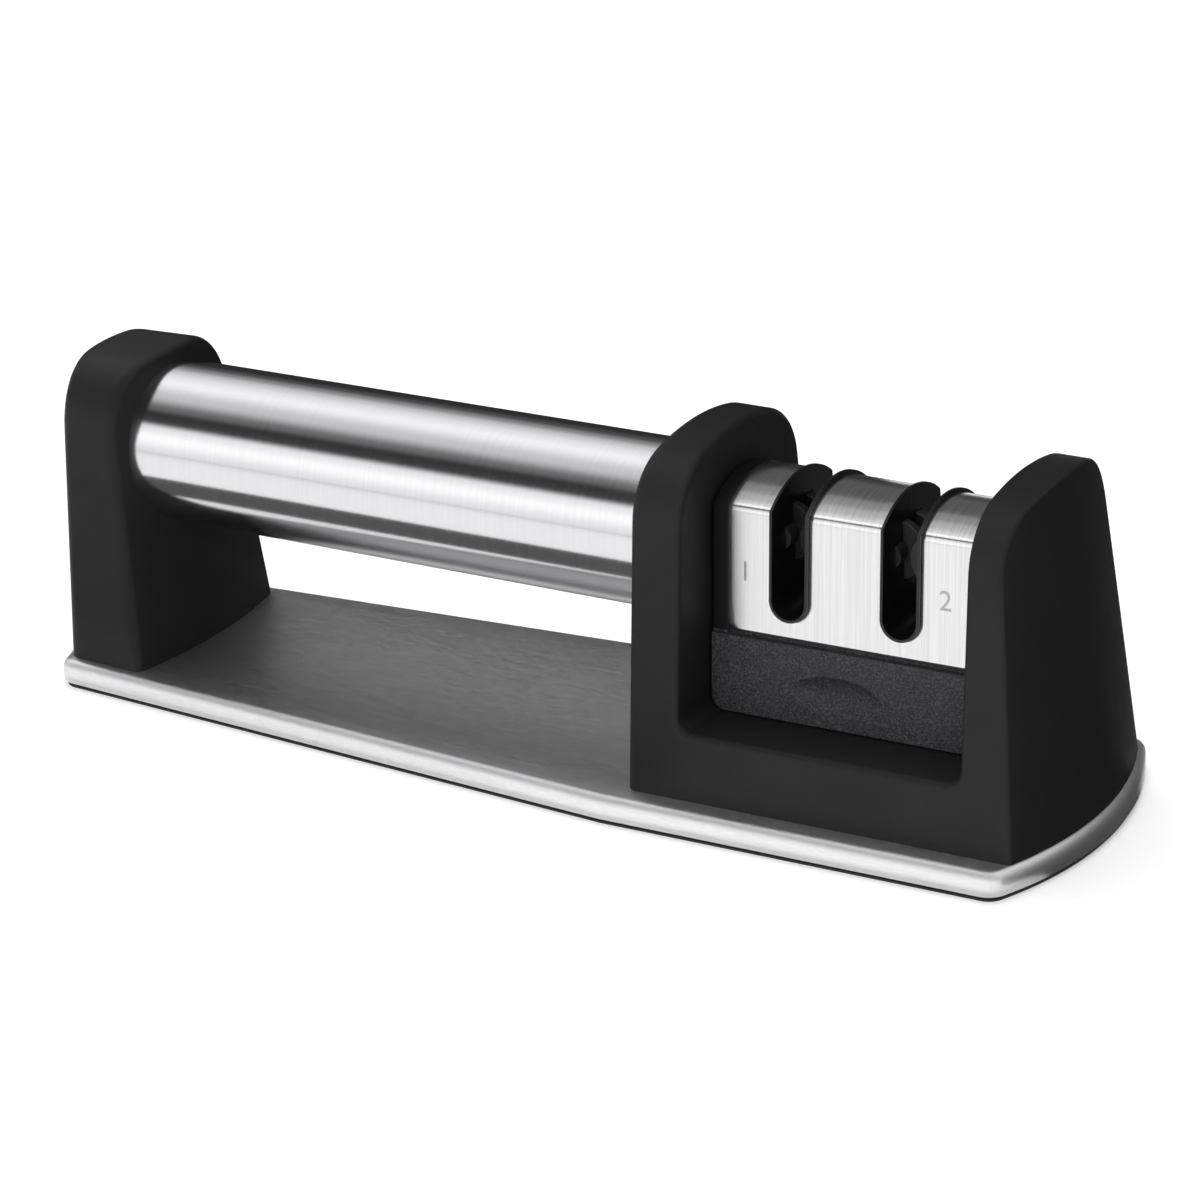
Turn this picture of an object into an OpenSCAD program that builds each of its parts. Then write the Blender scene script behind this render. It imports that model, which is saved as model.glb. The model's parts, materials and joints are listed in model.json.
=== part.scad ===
// Two-stage knife sharpener: a steel-clad base, a tube handle between a post and a
// moulded head, and a lift-out cartridge with two slots of interleaved grinding discs.
// X runs along the tool from the post to the head, the front faces -Y, Z is up.
// The origin is the middle of the outline on the table.

/* [Base] */
// Overall length of the base
base_len = 209; // [190:1:220]
// Widest breadth of the base, at the step in its sides
base_w = 63; // [60:1:74]
// Taper of each long side from the widest place to the post end, degrees
post_taper = 3.9; // [0:0.1:5]
// Taper of each long side from the widest place to the head end, degrees
head_taper = 1; // [0:0.1:3]
// Radius of the bowed end under the post
post_end_r = 57; // [50:1:90]
// Radius of the bowed end under the head
head_end_r = 65; // [55:1:90]
// Radius of the four corners in plan
corner_r = 4; // [3:0.1:6]
// Height of the steel pan above the table
base_h = 5.2; // [4.8:0.1:7]
// Thickness of the steel sheet
pan_t = 0.8; // [0.5:0.1:1]
// Radius of the rolled top edge of the pan
pan_edge_r = 1.9; // [0.8:0.1:2]
// Thickness of the rubber mat
mat_t = 1.1; // [0.8:0.1:1.5]
// How far the mat stays inside the pan's edge
mat_inset = 0.6; // [0.3:0.1:1.5]
// Pockets along each side of the insert's middle rib
core_pockets = 6; // [4:1:8]
// Breadth of the insert's pockets
core_pocket_w = 16; // [10:1:18]
// Thickness of the ribs between the pockets
core_rib_t = 2; // [1.5:0.1:3]
// Thickness of the insert over the pockets
core_web_t = 1.2; // [0.8:0.1:1.5]

/* [Handle] */
// Outer diameter of the handle tube
tube_d = 30; // [26:0.5:32]
// Wall of the handle tube
tube_wall = 1; // [0.8:0.1:1.6]
// Height of the tube's axis above the table
tube_z = 43.8; // [40:0.2:45]
// Depth of the tube's seat in the post and in the head
tube_seat = 4; // [2:0.5:6]

/* [Post] */
// Half breadth of the post at its foot, on its inner side
post_half = 21.8; // [19:0.1:26]
// Gap from the end of the base to the post's outer face
post_setback = 1.7; // [0.5:0.1:3]
// Thickness of the post at its foot
post_t = 23.2; // [18:0.2:26]
// Height of the post above the table
post_top = 61.6; // [58:0.1:66]
// Lean of the post's front and back faces, degrees
post_side_lean = 4.2; // [1:0.1:6]
// Lean of the post's inner face, degrees
post_inner_lean = 5.2; // [3:0.1:6]
// Lean of the post's outer face, degrees
post_outer_lean = 2.6; // [1:0.1:4]
// Bow radius of the post's inner face
post_bow_r = 88; // [80:1:140]
// Radius of the post's rounded shoulders
post_shoulder_r = 12.5; // [7:0.5:14]
// Radius of the post's crest
post_crest_r = 95; // [60:1:120]

/* [Head housing] */
// Gap from the widest place to the housing's left face
head_setback = 2.7; // [1:0.1:5]
// How far the housing's foot stays inside the pan's front edge
head_inset = 4.8; // [3:0.1:7]
// Height of the housing above the table
head_top = 64.4; // [63:0.1:69]
// Lean of the housing's front and back faces, degrees
head_side_lean = 6.5; // [3:0.1:8]
// Lean of the housing's outer face, degrees
head_outer_lean = 6; // [3:0.1:7]
// Bow radius of the housing's outer face at its foot
head_bow_r = 66; // [50:1:75]
// Gap from the end of the base to the housing's outer face
tower_setback = 1.5; // [0.5:0.1:3]
// Radius of the housing's rounded shoulders
head_shoulder_r = 12.5; // [7:0.5:14]
// Radius of the housing's crest
head_crest_r = 53; // [45:1:90]
// Radius of the edge round the housing's left face
head_edge_r = 2.2; // [1:0.1:3]
// Thickness of the pillar that carries the tube
pillar_t = 9.9; // [9:0.1:13]
// Thickness of the tower beyond the bay, at its foot
tower_t = 14.7; // [13:0.1:18]
// Length of the bay that takes the cartridge
bay_len = 52.8; // [51:0.1:54]
// Height of the bay's floor above the table
bay_floor = 17; // [14:0.2:19]
// Radius of the bay's lower corners
bay_corner_r = 2.6; // [1:0.1:3]
// Pockets along each side under the sill
sill_pockets = 3; // [3:1:5]
// Breadth of the pockets under the sill
sill_pocket_w = 18; // [10:1:19]
// Thickness of the moulding over and between the pockets under the sill
sill_wall = 3; // [2:0.1:4]
// How far the guide ribs stand into the bay
guide_t = 1; // [0.8:0.1:1.2]
// Breadth of the guide ribs
guide_w = 5; // [4:0.5:6]
// Height of the guide ribs above the bay's floor
guide_h = 28.8; // [20:0.2:30]

/* [Cartridge] */
// Clearance between the cartridge and each side of the bay
bay_gap = 0.6; // [0.4:0.05:0.7]
// Half thickness of the cartridge at its foot, at the widest place of the base
cart_half = 14.2; // [13.5:0.1:16]
// Lean of the cartridge's front and back faces, degrees
cart_lean = 4.8; // [2:0.1:5.5]
// Height of the steel cover's bend above the bay's floor
bend_h = 36.6; // [35:0.1:38]
// Rise of the cover's curved top above its bend
crown_h = 3.6; // [2.5:0.1:4.5]
// Height of the plastic ledge above the bay's floor
ledge_h = 14; // [12:0.1:15]
// How far the plastic ledge stands in front of the steel cover
ledge_proud = 0.6; // [0.3:0.1:1]
// Gap between the ledge and the steel cover's lower edge
cover_gap = 1.1; // [0.4:0.1:1.5]
// Thickness of the steel cover
cover_t = 0.5; // [0.4:0.1:0.8]
// Breadth of the plastic rail on each side of the steel cover
rail_w = 2.9; // [1.5:0.1:4]
// Radius of the steel cover's lower corners
cover_corner_r = 1.8; // [0.5:0.1:2.5]
// Distance between the two slots
slot_pitch = 20.8; // [20.6:0.1:22]
// How far the two slots lie left of the cartridge's middle
slots_shift = 0.8; // [0:0.1:2]
// Inner width of a slot
slot_w = 6.2; // [5:0.1:6.6]
// Thickness of the lip that lines a slot
lip_t = 0.5; // [0.4:0.1:0.7]
// How far the lip stands out of the steel cover
lip_proud = 0.7; // [0.3:0.1:1]
// Height of a slot's lowest point above the bay's floor
slot_foot_h = 18.4; // [18:0.1:20]
// Length of the finger dimple
dimple_len = 17; // [12:0.5:20]
// Height of the finger dimple
dimple_h = 7; // [5:0.5:8]
// Depth of the finger dimple
dimple_depth = 1.5; // [0.8:0.1:2]
// Height of the finger dimple's middle above the bay's floor
dimple_up = 6.1; // [5:0.1:8]
// How far the finger dimple lies left of the cartridge's middle
dimple_shift = 1.6; // [0:0.1:3]

/* [Grinding discs] */
// Diameter of a grinding disc
disc_d = 10.8; // [10:0.1:11]
// Thickness of a grinding disc
disc_t = 1.8; // [1.2:0.1:2]
// Distance between the two axles of one slot
axle_pitch = 9; // [8.6:0.1:9.2]
// Distance from one disc to the next disc of the same axle
disc_pitch = 4.8; // [4.6:0.1:5]
// Clearance between the discs and the shells that hold them
disc_gap = 0.25; // [0.2:0.05:0.3]
// Diameter of the hub between the discs
hub_d = 4.6; // [4:0.1:5]
// How far a hub runs past its outer discs
hub_end = 0.6; // [0.4:0.1:0.8]
// Diameter of an axle
axle_d = 2.4; // [2:0.1:2.6]
// Length of an axle
axle_len = 16.6; // [16:0.1:17]
// Height of the axles above the bay's floor
axle_h = 30.6; // [29.5:0.1:31]

/* [Screws and fits] */
// Diameter of the base screws
base_screw_d = 3.8; // [3:0.1:4.5]
// Diameter of the base screws' heads
base_screw_head_d = 7; // [6:0.1:7.5]
// Height of the base screws' heads
base_screw_head_h = 1.9; // [1.5:0.1:2]
// Length of the base screws under the head
base_screw_len = 13; // [10:0.5:14]
// Distance between the two screws of the post
post_screw_pitch = 22; // [16:0.5:28]
// Distance between the front and the rear screws of the head
head_screw_pitch = 30; // [20:0.5:36]
// Diameter of the cartridge screws
cart_screw_d = 2.2; // [1.8:0.1:2.6]
// Diameter of the cartridge screws' heads
cart_screw_head_d = 4.2; // [3.6:0.1:4.6]
// Height of the cartridge screws' heads
cart_screw_head_h = 1.6; // [1.2:0.1:2]
// Length of the cartridge screws under the head
cart_screw_len = 11; // [9:0.5:12]
// Distance between the two cartridge screws
cart_screw_pitch = 36.4; // [32:0.2:40]
// Clearance round the screws and their heads
screw_room = 0.3; // [0.2:0.05:0.4]
// Running clearance between pieces that move past each other
slide_gap = 0.3; // [0.2:0.05:0.4]
// Clearance between pieces that sit still on each other
seat_gap = 0.05; // [0.02:0.01:0.1]

/* [Hidden] */

black = "#26272a";
steel = "#b9bcc0";
dark_steel = "#55575a";
rubber = "#1a1a1c";
ceramic = "#efeeea";
nylon = "#3a3b3e";

// Cross recess of a screw: its span and the breadth of its arms, as shares of the head
recess_span = 0.6;
recess_w = 0.14;

// Thickness of the slices that a lofted shape is drawn through
slice = 0.01;
// How far a cutting shape runs past the faces that it cuts
over = 1;
big_fn = 144;
round_fn = 48;
arc_steps = 14;
corner_steps = 6;
shoulder_steps = 10;

// Places along X, worked out from the head's end back to the widest place of the base
tower_end = base_len / 2 - tower_setback;
bay_x = tower_end - tower_t - bay_len;
head_x = bay_x - pillar_t;
widest_x = head_x - head_setback;
cart_x = bay_x + bay_len / 2;

// Points on an arc round centre c, from angle a to angle b
function arc(c, r, a, b, n = arc_steps) =
    [for (i = [0:n]) let(t = a + (b - a) * i / n) [c[0] + r * cos(t), c[1] + r * sin(t)]];
// Radius of an arc over a chord, with the rise at its middle
function arc_radius(chord, rise) = (chord * chord / 4 + rise * rise) / (2 * rise);
// Place where the line from p along t comes to the distance r from c
function meet(p, t, c, r) =
    let(q = p - c, b = q * t) p + (sqrt(b * b - q * q + r * r) - b) * t;
// Points of one half of an outline that ends on the axis, followed by their mirror images
function both_sides(half) =
    concat(half, [for (i = [len(half) - 2:-1:0]) [-half[i][0], half[i][1]]]);
function flipped(points) = [for (i = [len(points) - 1:-1:0]) [points[i][0], -points[i][1]]];

// Centre of the corner between a long side that tapers by taper and an end that is
// bowed with the radius end_r round the centre end_c
function corner_centre(end_c, end_r, side, taper) =
    meet([widest_x, base_w / 2] - corner_r * [side * sin(taper), cos(taper)],
        [side * cos(taper), -sin(taper)], [end_c, 0], end_r - corner_r);

head_end_c = base_len / 2 - head_end_r;
post_end_c = -base_len / 2 + post_end_r;
head_corner = corner_centre(head_end_c, head_end_r, 1, head_taper);
post_corner = corner_centre(post_end_c, post_end_r, -1, post_taper);
head_corner_a = atan2(head_corner[1], head_corner[0] - head_end_c);
post_corner_a = atan2(post_corner[1], post_corner[0] - post_end_c);

// Outline of the base in plan, drawn d inside its edge
function base_upper(d) = concat(
    arc([head_end_c, 0], head_end_r - d, 0, head_corner_a),
    arc(head_corner, corner_r - d, head_corner_a, 90 - head_taper, corner_steps),
    [[widest_x, base_w / 2 - d]],
    arc(post_corner, corner_r - d, 90 + post_taper, post_corner_a, corner_steps),
    arc([post_end_c, 0], post_end_r - d, post_corner_a, 180));
function base_outline(d) = let(u = base_upper(d), l = flipped(u))
    concat(u, [for (i = [1:len(l) - 2]) l[i]]);

// Bells of the post and the head: their top, the lean of their sides, the radius of their
// shoulders and the radius of their crest
post_bell = [post_top, post_side_lean, post_shoulder_r, post_crest_r];
head_bell = [head_top, head_side_lean, head_shoulder_r, head_crest_r];

// Centre of a bell's crest
function crest_centre(b) = [0, b[0] - b[3]];
// Centre of the shoulder, which touches the side and the crest from within. half is the
// half breadth at the foot
function shoulder_centre(b, half) =
    meet([half, base_h] - b[2] * [cos(b[1]), sin(b[1])], [-sin(b[1]), cos(b[1])],
        crest_centre(b), b[3] - b[2]);
// Angle at which the shoulders end, half a step before they touch the crest. It is the same
// for all sections, so that the faces between them are flat
function shoulder_end(b, half) =
    let(c = shoulder_centre(b, half) - crest_centre(b), a = atan2(c[1], c[0]))
    a - (a - b[1]) / shoulder_steps / 2;
// Section of a bell, d inside its edge: leaning sides, round shoulders and straight slopes
// up to the middle, which its crest then cuts off
function bell(b, half, end_a, d) =
    let(shoulder = arc(shoulder_centre(b, half), b[2] - d, b[1], end_a, shoulder_steps),
        last = shoulder[shoulder_steps])
    both_sides(concat([[half - d / cos(b[1]), base_h]], shoulder,
        [[0, last[1] + last[0] / tan(end_a)]]));

// Round body along X whose top is the crest of a bell. profile lists its radii and places
module crest(b, profile) {
    translate([0, 0, crest_centre(b)[1]]) rotate([0, 90, 0]) rotate_extrude($fn = big_fn)
        polygon(concat([[0, profile[0][1]]], profile, [[0, profile[len(profile) - 1][1]]]));
}

// Draws a Y-Z section as a slab of length len that starts at x
module section_slab(x, len, points) {
    translate([x, 0, 0]) rotate([90, 0, 90]) linear_extrude(len) polygon(points);
}

post_end = -base_len / 2 + post_setback;
post_inner = post_end + post_t;
tube_x0 = post_inner - tan(post_inner_lean) * (tube_z + tube_d / 2 - base_h) - tube_seat;
tube_x1 = head_x + tube_seat;

// Half breadth of the housing's foot at x
function head_half(x) = base_w / 2 - head_inset - tan(head_taper) * (x - widest_x);

post_screw_at = [for (s = [-1, 1]) [post_end + post_t / 2, s * post_screw_pitch / 2]];
head_screw_at = [for (s = [-1, 1], x = [head_x + pillar_t / 2, tower_end - tower_t / 2])
    [x, s * head_screw_pitch / 2]];
base_screw_at = concat(post_screw_at, head_screw_at);
screw_seat_z = mat_t + base_screw_head_h + screw_room;
core_top = base_h - pan_t;

// Sheet steel pan, open below, with a rolled top edge
module base_pan() {
    color(steel) difference() {
        hull() for (a = [0:30:90])
            let(top = base_h - pan_edge_r * (1 - sin(a)), foot = a == 0 ? mat_t : top - slice)
            translate([0, 0, foot]) linear_extrude(top - foot)
                polygon(base_outline(pan_edge_r * (1 - cos(a))));
        translate([0, 0, mat_t - over]) linear_extrude(core_top - mat_t + over)
            polygon(base_outline(pan_edge_r));
        translate([0, 0, mat_t - over]) linear_extrude(core_top - pan_edge_r - mat_t + over)
            polygon(base_outline(pan_t));
        for (p = base_screw_at) screw_hole(p, base_h + over, base_screw_d);
    }
}

// Clearance hole of height h for a round thing of diameter d, in the base
module screw_hole(p, h, d) {
    translate([p[0], p[1], 0]) cylinder(h = h, d = d + 2 * screw_room, $fn = round_fn);
}

// Two rows of n pockets from x0 to x1 and from low to high, each w broad, parted by ribs
module pockets(x0, x1, n, w, rib, low, high) {
    pitch = (x1 - x0) / n;
    for (i = [0:n - 1], s = [-1, 1])
        translate([x0 + (i + 0.5) * pitch, s * (rib + w) / 2, (low + high) / 2])
            cube([pitch - rib, w, high - low], center = true);
}

// Moulded insert that stiffens the pan and carries the screw heads
module base_core() {
    color(nylon) difference() {
        union() {
            translate([0, 0, mat_t]) linear_extrude(core_top - pan_edge_r - mat_t - seat_gap)
                polygon(base_outline(pan_t + seat_gap));
            translate([0, 0, mat_t]) linear_extrude(core_top - mat_t - seat_gap)
                polygon(base_outline(pan_edge_r + seat_gap));
        }
        for (p = base_screw_at) {
            screw_hole(p, base_h, base_screw_d);
            screw_hole(p, screw_seat_z, base_screw_head_d);
        }
        // Pockets under the handle
        pockets(post_inner, head_x, core_pockets, core_pocket_w, core_rib_t,
            mat_t - over, core_top - core_web_t);
    }
}

// Rubber mat under the whole base
module base_mat() {
    color(rubber) linear_extrude(mat_t) polygon(base_outline(mat_inset));
}

// Screw with a flat head and a cross recess. Its shank runs up from the seat at 0 and
// tapers over its last diameter
module screw(d, len, head_d, head_h) {
    difference() {
        union() {
            translate([0, 0, -head_h]) cylinder(h = head_h, d = head_d, $fn = round_fn);
            cylinder(h = len - d, d = d, $fn = round_fn);
            translate([0, 0, len - d]) cylinder(h = d, d1 = d, d2 = d / 2, $fn = round_fn);
        }
        for (a = [0, 90]) rotate([0, 0, a]) translate([0, 0, -head_h])
            cube([head_d * recess_span, head_d * recess_w, head_h], center = true);
    }
}

module base_screws(places) {
    color(dark_steel) for (p = places) translate([p[0], p[1], screw_seat_z])
        screw(base_screw_d, base_screw_len, base_screw_head_d, base_screw_head_h);
}

// Hole for a base screw in the piece that stands on the pan
module screw_pilot(p) {
    translate([p[0], p[1], base_h - over])
        cylinder(h = screw_seat_z + base_screw_len + screw_room - base_h + over,
            d = base_screw_d + 2 * seat_gap, $fn = round_fn);
}

// Ring-shaped seat for the tube's end, between x0 and x1
module tube_ring(x0, x1) {
    translate([x0, 0, tube_z]) rotate([0, 90, 0]) difference() {
        cylinder(h = x1 - x0, d = tube_d + 2 * seat_gap, $fn = big_fn);
        translate([0, 0, -over])
            cylinder(h = x1 - x0 + 2 * over, d = tube_d - 2 * tube_wall - 2 * seat_gap, $fn = big_fn);
    }
}

// Cone whose wall leans inwards from the radius r at the foot, up to the height top,
// turned so that its seam meets none of the faces that it makes
module leaning_cone(x, r, lean, top) {
    h = top - base_h + over;
    translate([x, 0, base_h - slice]) rotate([0, 0, 90])
        cylinder(h = h, r1 = r, r2 = r - tan(lean) * h, $fn = big_fn);
}

// Half breadth of the post's foot at x
function post_foot_half(x) = post_half - tan(post_taper) * (post_inner - x);
// Places of the sections that the post is drawn through, before its faces are cut
post_slabs = [post_end - over, post_inner + over];

// Solid moulded post, bell-shaped from the side, between two bowed and leaning faces
module handle_post() {
    color(black) difference() {
        intersection() {
            hull() for (x = post_slabs)
                section_slab(x, slice, bell(post_bell, post_foot_half(x),
                    shoulder_end(post_bell, post_half), 0));
            crest(post_bell, [for (x = post_slabs) [post_crest_r, x]]);
            leaning_cone(post_inner - post_bow_r, post_bow_r, post_inner_lean, post_top);
            leaning_cone(post_end_c, post_end_r - post_setback, post_outer_lean, post_top);
        }
        tube_ring(tube_x0, post_inner + over);
        for (p = post_screw_at) screw_pilot(p);
    }
}

module handle_tube() {
    color(steel) translate([tube_x0 + seat_gap, 0, tube_z]) rotate([0, 90, 0]) difference() {
        cylinder(h = tube_x1 - tube_x0 - 2 * seat_gap, d = tube_d, $fn = big_fn);
        translate([0, 0, -over])
            cylinder(h = tube_x1 - tube_x0 + 2 * over, d = tube_d - 2 * tube_wall, $fn = big_fn);
    }
}

// Upright bar of section t by w, on the left (-1) and right (1) of the bay, from low to high
module upright(s, t, w, low, high) {
    translate([cart_x + s * (bay_len - t) / 2, 0, (low + high) / 2])
        cube([t, w, high - low], center = true);
}

// Solid outside of the head: a bell-shaped loft with a round edge at its left face, cut
// by the bowed and leaning outer face
module head_form() {
    // How far each section lies inside the edge, and its place
    slabs = concat(
        [for (a = [90:-30:0]) [head_edge_r * (1 - cos(a)), head_x + head_edge_r * (1 - sin(a))]],
        [[0, tower_end + over]]);
    intersection() {
        hull() for (s = slabs)
            section_slab(s[1], slice, bell(head_bell, head_half(s[1]),
                shoulder_end(head_bell, head_half(head_x)), s[0]));
        crest(head_bell, [for (s = slabs) [head_crest_r - s[0], s[1]]]);
        leaning_cone(tower_end - head_bow_r, head_bow_r, head_outer_lean, head_top);
    }
}

// Moulded head: pillar, sill and tower in one piece, with an open bay
module head_housing() {
    color(black) difference() {
        union() {
            difference() {
                head_form();
                bay();
            }
            // Ribs that guide the cartridge
            for (s = [-1, 1]) upright(s, guide_t, guide_w, bay_floor - guide_t, guide_top);
        }
        tube_ring(head_x - over, tube_x1);
        for (p = head_screw_at) screw_pilot(p);
        // Pockets under the sill, left by the mould
        pockets(bay_x + sill_wall, bay_x + bay_len - sill_wall, sill_pockets, sill_pocket_w,
            sill_wall, base_h - over, bay_floor - sill_wall);
    }
}

// Space of the bay, with round lower corners, cut from front to back
module bay() {
    depth = base_w + 2 * over;
    translate([bay_x, depth / 2, 0]) rotate([90, 0, 0]) linear_extrude(depth) union() {
        translate([0, bay_floor + bay_corner_r]) square([bay_len, head_top]);
        translate([bay_corner_r, bay_floor]) square([bay_len - 2 * bay_corner_r, head_top]);
        for (x = [bay_corner_r, bay_len - bay_corner_r])
            translate([x, bay_floor + bay_corner_r]) circle(r = bay_corner_r, $fn = round_fn);
    }
}

cart_foot = bay_floor + slide_gap;
cart_len = bay_len - 2 * bay_gap;
guide_top = bay_floor + guide_h;
cart_x0 = cart_x - cart_len / 2;
bend_z = bay_floor + bend_h;
ledge_z = bay_floor + ledge_h;
cover_z = ledge_z + cover_gap;
cover_len = cart_len - 2 * rail_w;
axle_z = bay_floor + axle_h;
slot_at = [for (s = [-1, 1]) cart_x - slots_shift + s * slot_pitch / 2];
slot_foot = bay_floor + slot_foot_h;
// Depth of the plastic below the outer face of the steel cover
under_cover = cover_t + seat_gap;

// Half thickness of the cartridge at its foot, at x
function cart_foot_half(x) = cart_half - tan(head_taper) * (x - widest_x);

// Section of the cartridge: leaning faces, a bend and a curved top, drawn d inside the
// outer face of its ledge
function cart_section(x, d) =
    let(foot = [cart_foot_half(x) - d, cart_foot],
        bend = foot[0] + d - ledge_proud - tan(cart_lean) * (bend_z - cart_foot),
        crown_r = arc_radius(2 * bend, crown_h),
        c = [0, bend_z + crown_h - crown_r],
        r = crown_r + ledge_proud - d,
        corner = meet(foot, [-sin(cart_lean), cos(cart_lean)], c, r))
    both_sides(concat([foot],
        arc(c, r, atan2(corner[1] - c[1], corner[0]), 90, shoulder_steps)));

// Whole cartridge section between two places along X, d inside the ledge's face
module cart_block(x0, x1, d) {
    hull() for (x = [x0, x1 - slice]) section_slab(x, slice, cart_section(x, d));
}

// Slot outline in the X-Z plane, cut from front to back, with a round foot
module slot_cut(x, w, foot) {
    translate([x, base_w / 2, 0]) rotate([90, 0, 0]) linear_extrude(base_w) union() {
        translate([0, foot + w / 2]) circle(d = w, $fn = round_fn);
        translate([-w / 2, foot + w / 2]) square([w, head_top - foot]);
    }
}

// Places of the discs along Y, for the left and the right axle of a slot
disc_y = [[-disc_pitch / 2, disc_pitch / 2], [-disc_pitch, 0, disc_pitch]];
hub_len = 2 * (disc_pitch + hub_end) + disc_t;

// Room for one axle with its hub and discs; side is 0 for left and 1 for right
module stack_room(x, side) {
    translate([x, 0, axle_z]) rotate([90, 0, 0]) {
        cylinder(h = hub_len + 2 * disc_gap, d = hub_d + 2 * disc_gap, center = true, $fn = round_fn);
        cylinder(h = axle_len + 2 * seat_gap, d = axle_d + 2 * seat_gap, center = true, $fn = round_fn);
        for (y = disc_y[side]) translate([0, 0, -y]) cylinder(h = disc_t + 2 * disc_gap,
            d = disc_d + 2 * disc_gap, center = true, $fn = big_fn);
    }
}

cart_screw_at = [for (s = [-1, 1]) [cart_x + s * cart_screw_pitch / 2, bay_floor + ledge_h / 2]];
// Place of the cartridge screws' heads, half way into the rear shell
cart_screw_y = cart_half / 2;
lip_w = slot_w + 2 * lip_t;

// Both shells of the cartridge before they are parted, with slots and disc rooms
module cartridge_body() {
    difference() {
        union() {
            intersection() {
                cart_block(cart_x0, cart_x0 + cart_len, 0);
                translate([cart_x, 0, (cart_foot + ledge_z) / 2])
                    cube([cart_len, base_w, ledge_z - cart_foot], center = true);
            }
            // Core under the steel cover
            cart_block(cart_x0, cart_x0 + cart_len, ledge_proud + under_cover);
            // Rails beside the steel cover
            for (x = [cart_x0, cart_x0 + cart_len - rail_w])
                cart_block(x, x + rail_w, ledge_proud);
            // Lips that line the slots and stand out of the cover
            for (x = slot_at) intersection() {
                cart_block(x - lip_w / 2, x + lip_w / 2, ledge_proud - lip_proud);
                slot_cut(x, lip_w, slot_foot - lip_t);
            }
        }
        for (x = slot_at) {
            slot_cut(x, slot_w, slot_foot);
            stack_room(x - axle_pitch / 2, 0);
            stack_room(x + axle_pitch / 2, 1);
        }
        // Grooves for the guide ribs of the bay, closed at the top
        for (s = [-1, 1]) upright(s, guide_t + slide_gap, guide_w + 2 * slide_gap,
            cart_foot - over, guide_top + 2 * slide_gap);
        for (p = cart_screw_at) translate([p[0], 0, p[1]]) rotate([-90, 0, 0]) {
            translate([0, 0, cart_screw_y - cart_screw_len - screw_room])
                cylinder(h = cart_screw_len + over, d = cart_screw_d + 2 * seat_gap, $fn = round_fn);
            translate([0, 0, cart_screw_y])
                cylinder(h = cart_half, d = cart_screw_head_d + 2 * screw_room, $fn = round_fn);
        }
        for (s = [-1, 1]) dimple(s);
        // Lower corners that follow those of the bay
        lower_corners(cart_x0, cart_x0 + cart_len, cart_foot, bay_corner_r);
    }
}

// What a cut takes off to round the lower corners of a piece that stands on z between x0
// and x1, from front to back
module lower_corners(x0, x1, z, r) {
    for (s = [-1, 1]) translate([s < 0 ? x0 : x1, base_w / 2, z]) rotate([90, 0, 0])
        linear_extrude(base_w) difference() {
            square(2 * r, center = true);
            translate([-s * r, r]) circle(r = r, $fn = round_fn);
        }
}

// Shallow oval hollow for a finger, on the front (-1) or the back (1): the side of a
// spindle whose long arc and round section are both dimple_depth deep in the face
module dimple(s) {
    long_r = arc_radius(dimple_len, dimple_depth);
    short_r = arc_radius(dimple_h, dimple_depth);
    out = short_r - dimple_depth;
    z = bay_floor + dimple_up;
    face = cart_foot_half(cart_x) - tan(cart_lean) * (z - cart_foot);
    translate([cart_x - dimple_shift, s * (face + out * cos(cart_lean)), z + out * sin(cart_lean)])
        rotate([0, 90, 0]) rotate_extrude($fn = round_fn) intersection() {
            translate([short_r - long_r, 0]) circle(r = long_r, $fn = big_fn);
            translate([0, -dimple_len]) square([short_r, 2 * dimple_len]);
        }
}

module half_space(s) {
    translate([cart_x, s * base_w / 2, head_top / 2]) cube([base_len, base_w, 2 * head_top], center = true);
}

module cartridge_front_shell() {
    color(black) intersection() {
        cartridge_body();
        half_space(-1);
    }
}

module cartridge_rear_shell() {
    color(black) intersection() {
        cartridge_body();
        half_space(1);
    }
}

// Bent steel cover with two slots, open at both ends
module cartridge_cover() {
    x0 = cart_x - cover_len / 2 + seat_gap;
    x1 = cart_x + cover_len / 2 - seat_gap;
    color(steel) difference() {
        cart_block(x0, x1, ledge_proud);
        cart_block(x0 - over, x1 + over, ledge_proud + cover_t);
        translate([x0 - over, -base_w / 2, 0]) cube([cover_len + 2 * over, base_w, cover_z]);
        for (x = slot_at) slot_cut(x, lip_w + 2 * seat_gap, slot_foot - lip_t - seat_gap);
        lower_corners(x0, x1, cover_z, cover_corner_r);
    }
}

module cartridge_screws() {
    color(dark_steel) for (p = cart_screw_at) translate([p[0], cart_screw_y, p[1]])
        rotate([90, 0, 0]) screw(cart_screw_d, cart_screw_len, cart_screw_head_d, cart_screw_head_h);
}

// Lays a round piece along Y at an axle of a slot
module at_axle(slot, side) {
    translate([slot_at[slot] + (side - 0.5) * axle_pitch, 0, axle_z]) rotate([90, 0, 0]) children();
}

module axle(slot, side) {
    color(steel) at_axle(slot, side) cylinder(h = axle_len, d = axle_d, center = true, $fn = round_fn);
}

module hub(slot, side) {
    color(nylon) at_axle(slot, side) difference() {
        cylinder(h = hub_len, d = hub_d, center = true, $fn = round_fn);
        cylinder(h = hub_len + over, d = axle_d + 2 * seat_gap, center = true, $fn = round_fn);
    }
}

module disc(slot, side, n) {
    color(slot == 0 ? dark_steel : ceramic) at_axle(slot, side)
        translate([0, 0, -disc_y[side][n]]) difference() {
            cylinder(h = disc_t, d = disc_d, center = true, $fn = big_fn);
            cylinder(h = disc_t + over, d = hub_d, center = true, $fn = round_fn);
        }
}

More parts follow.
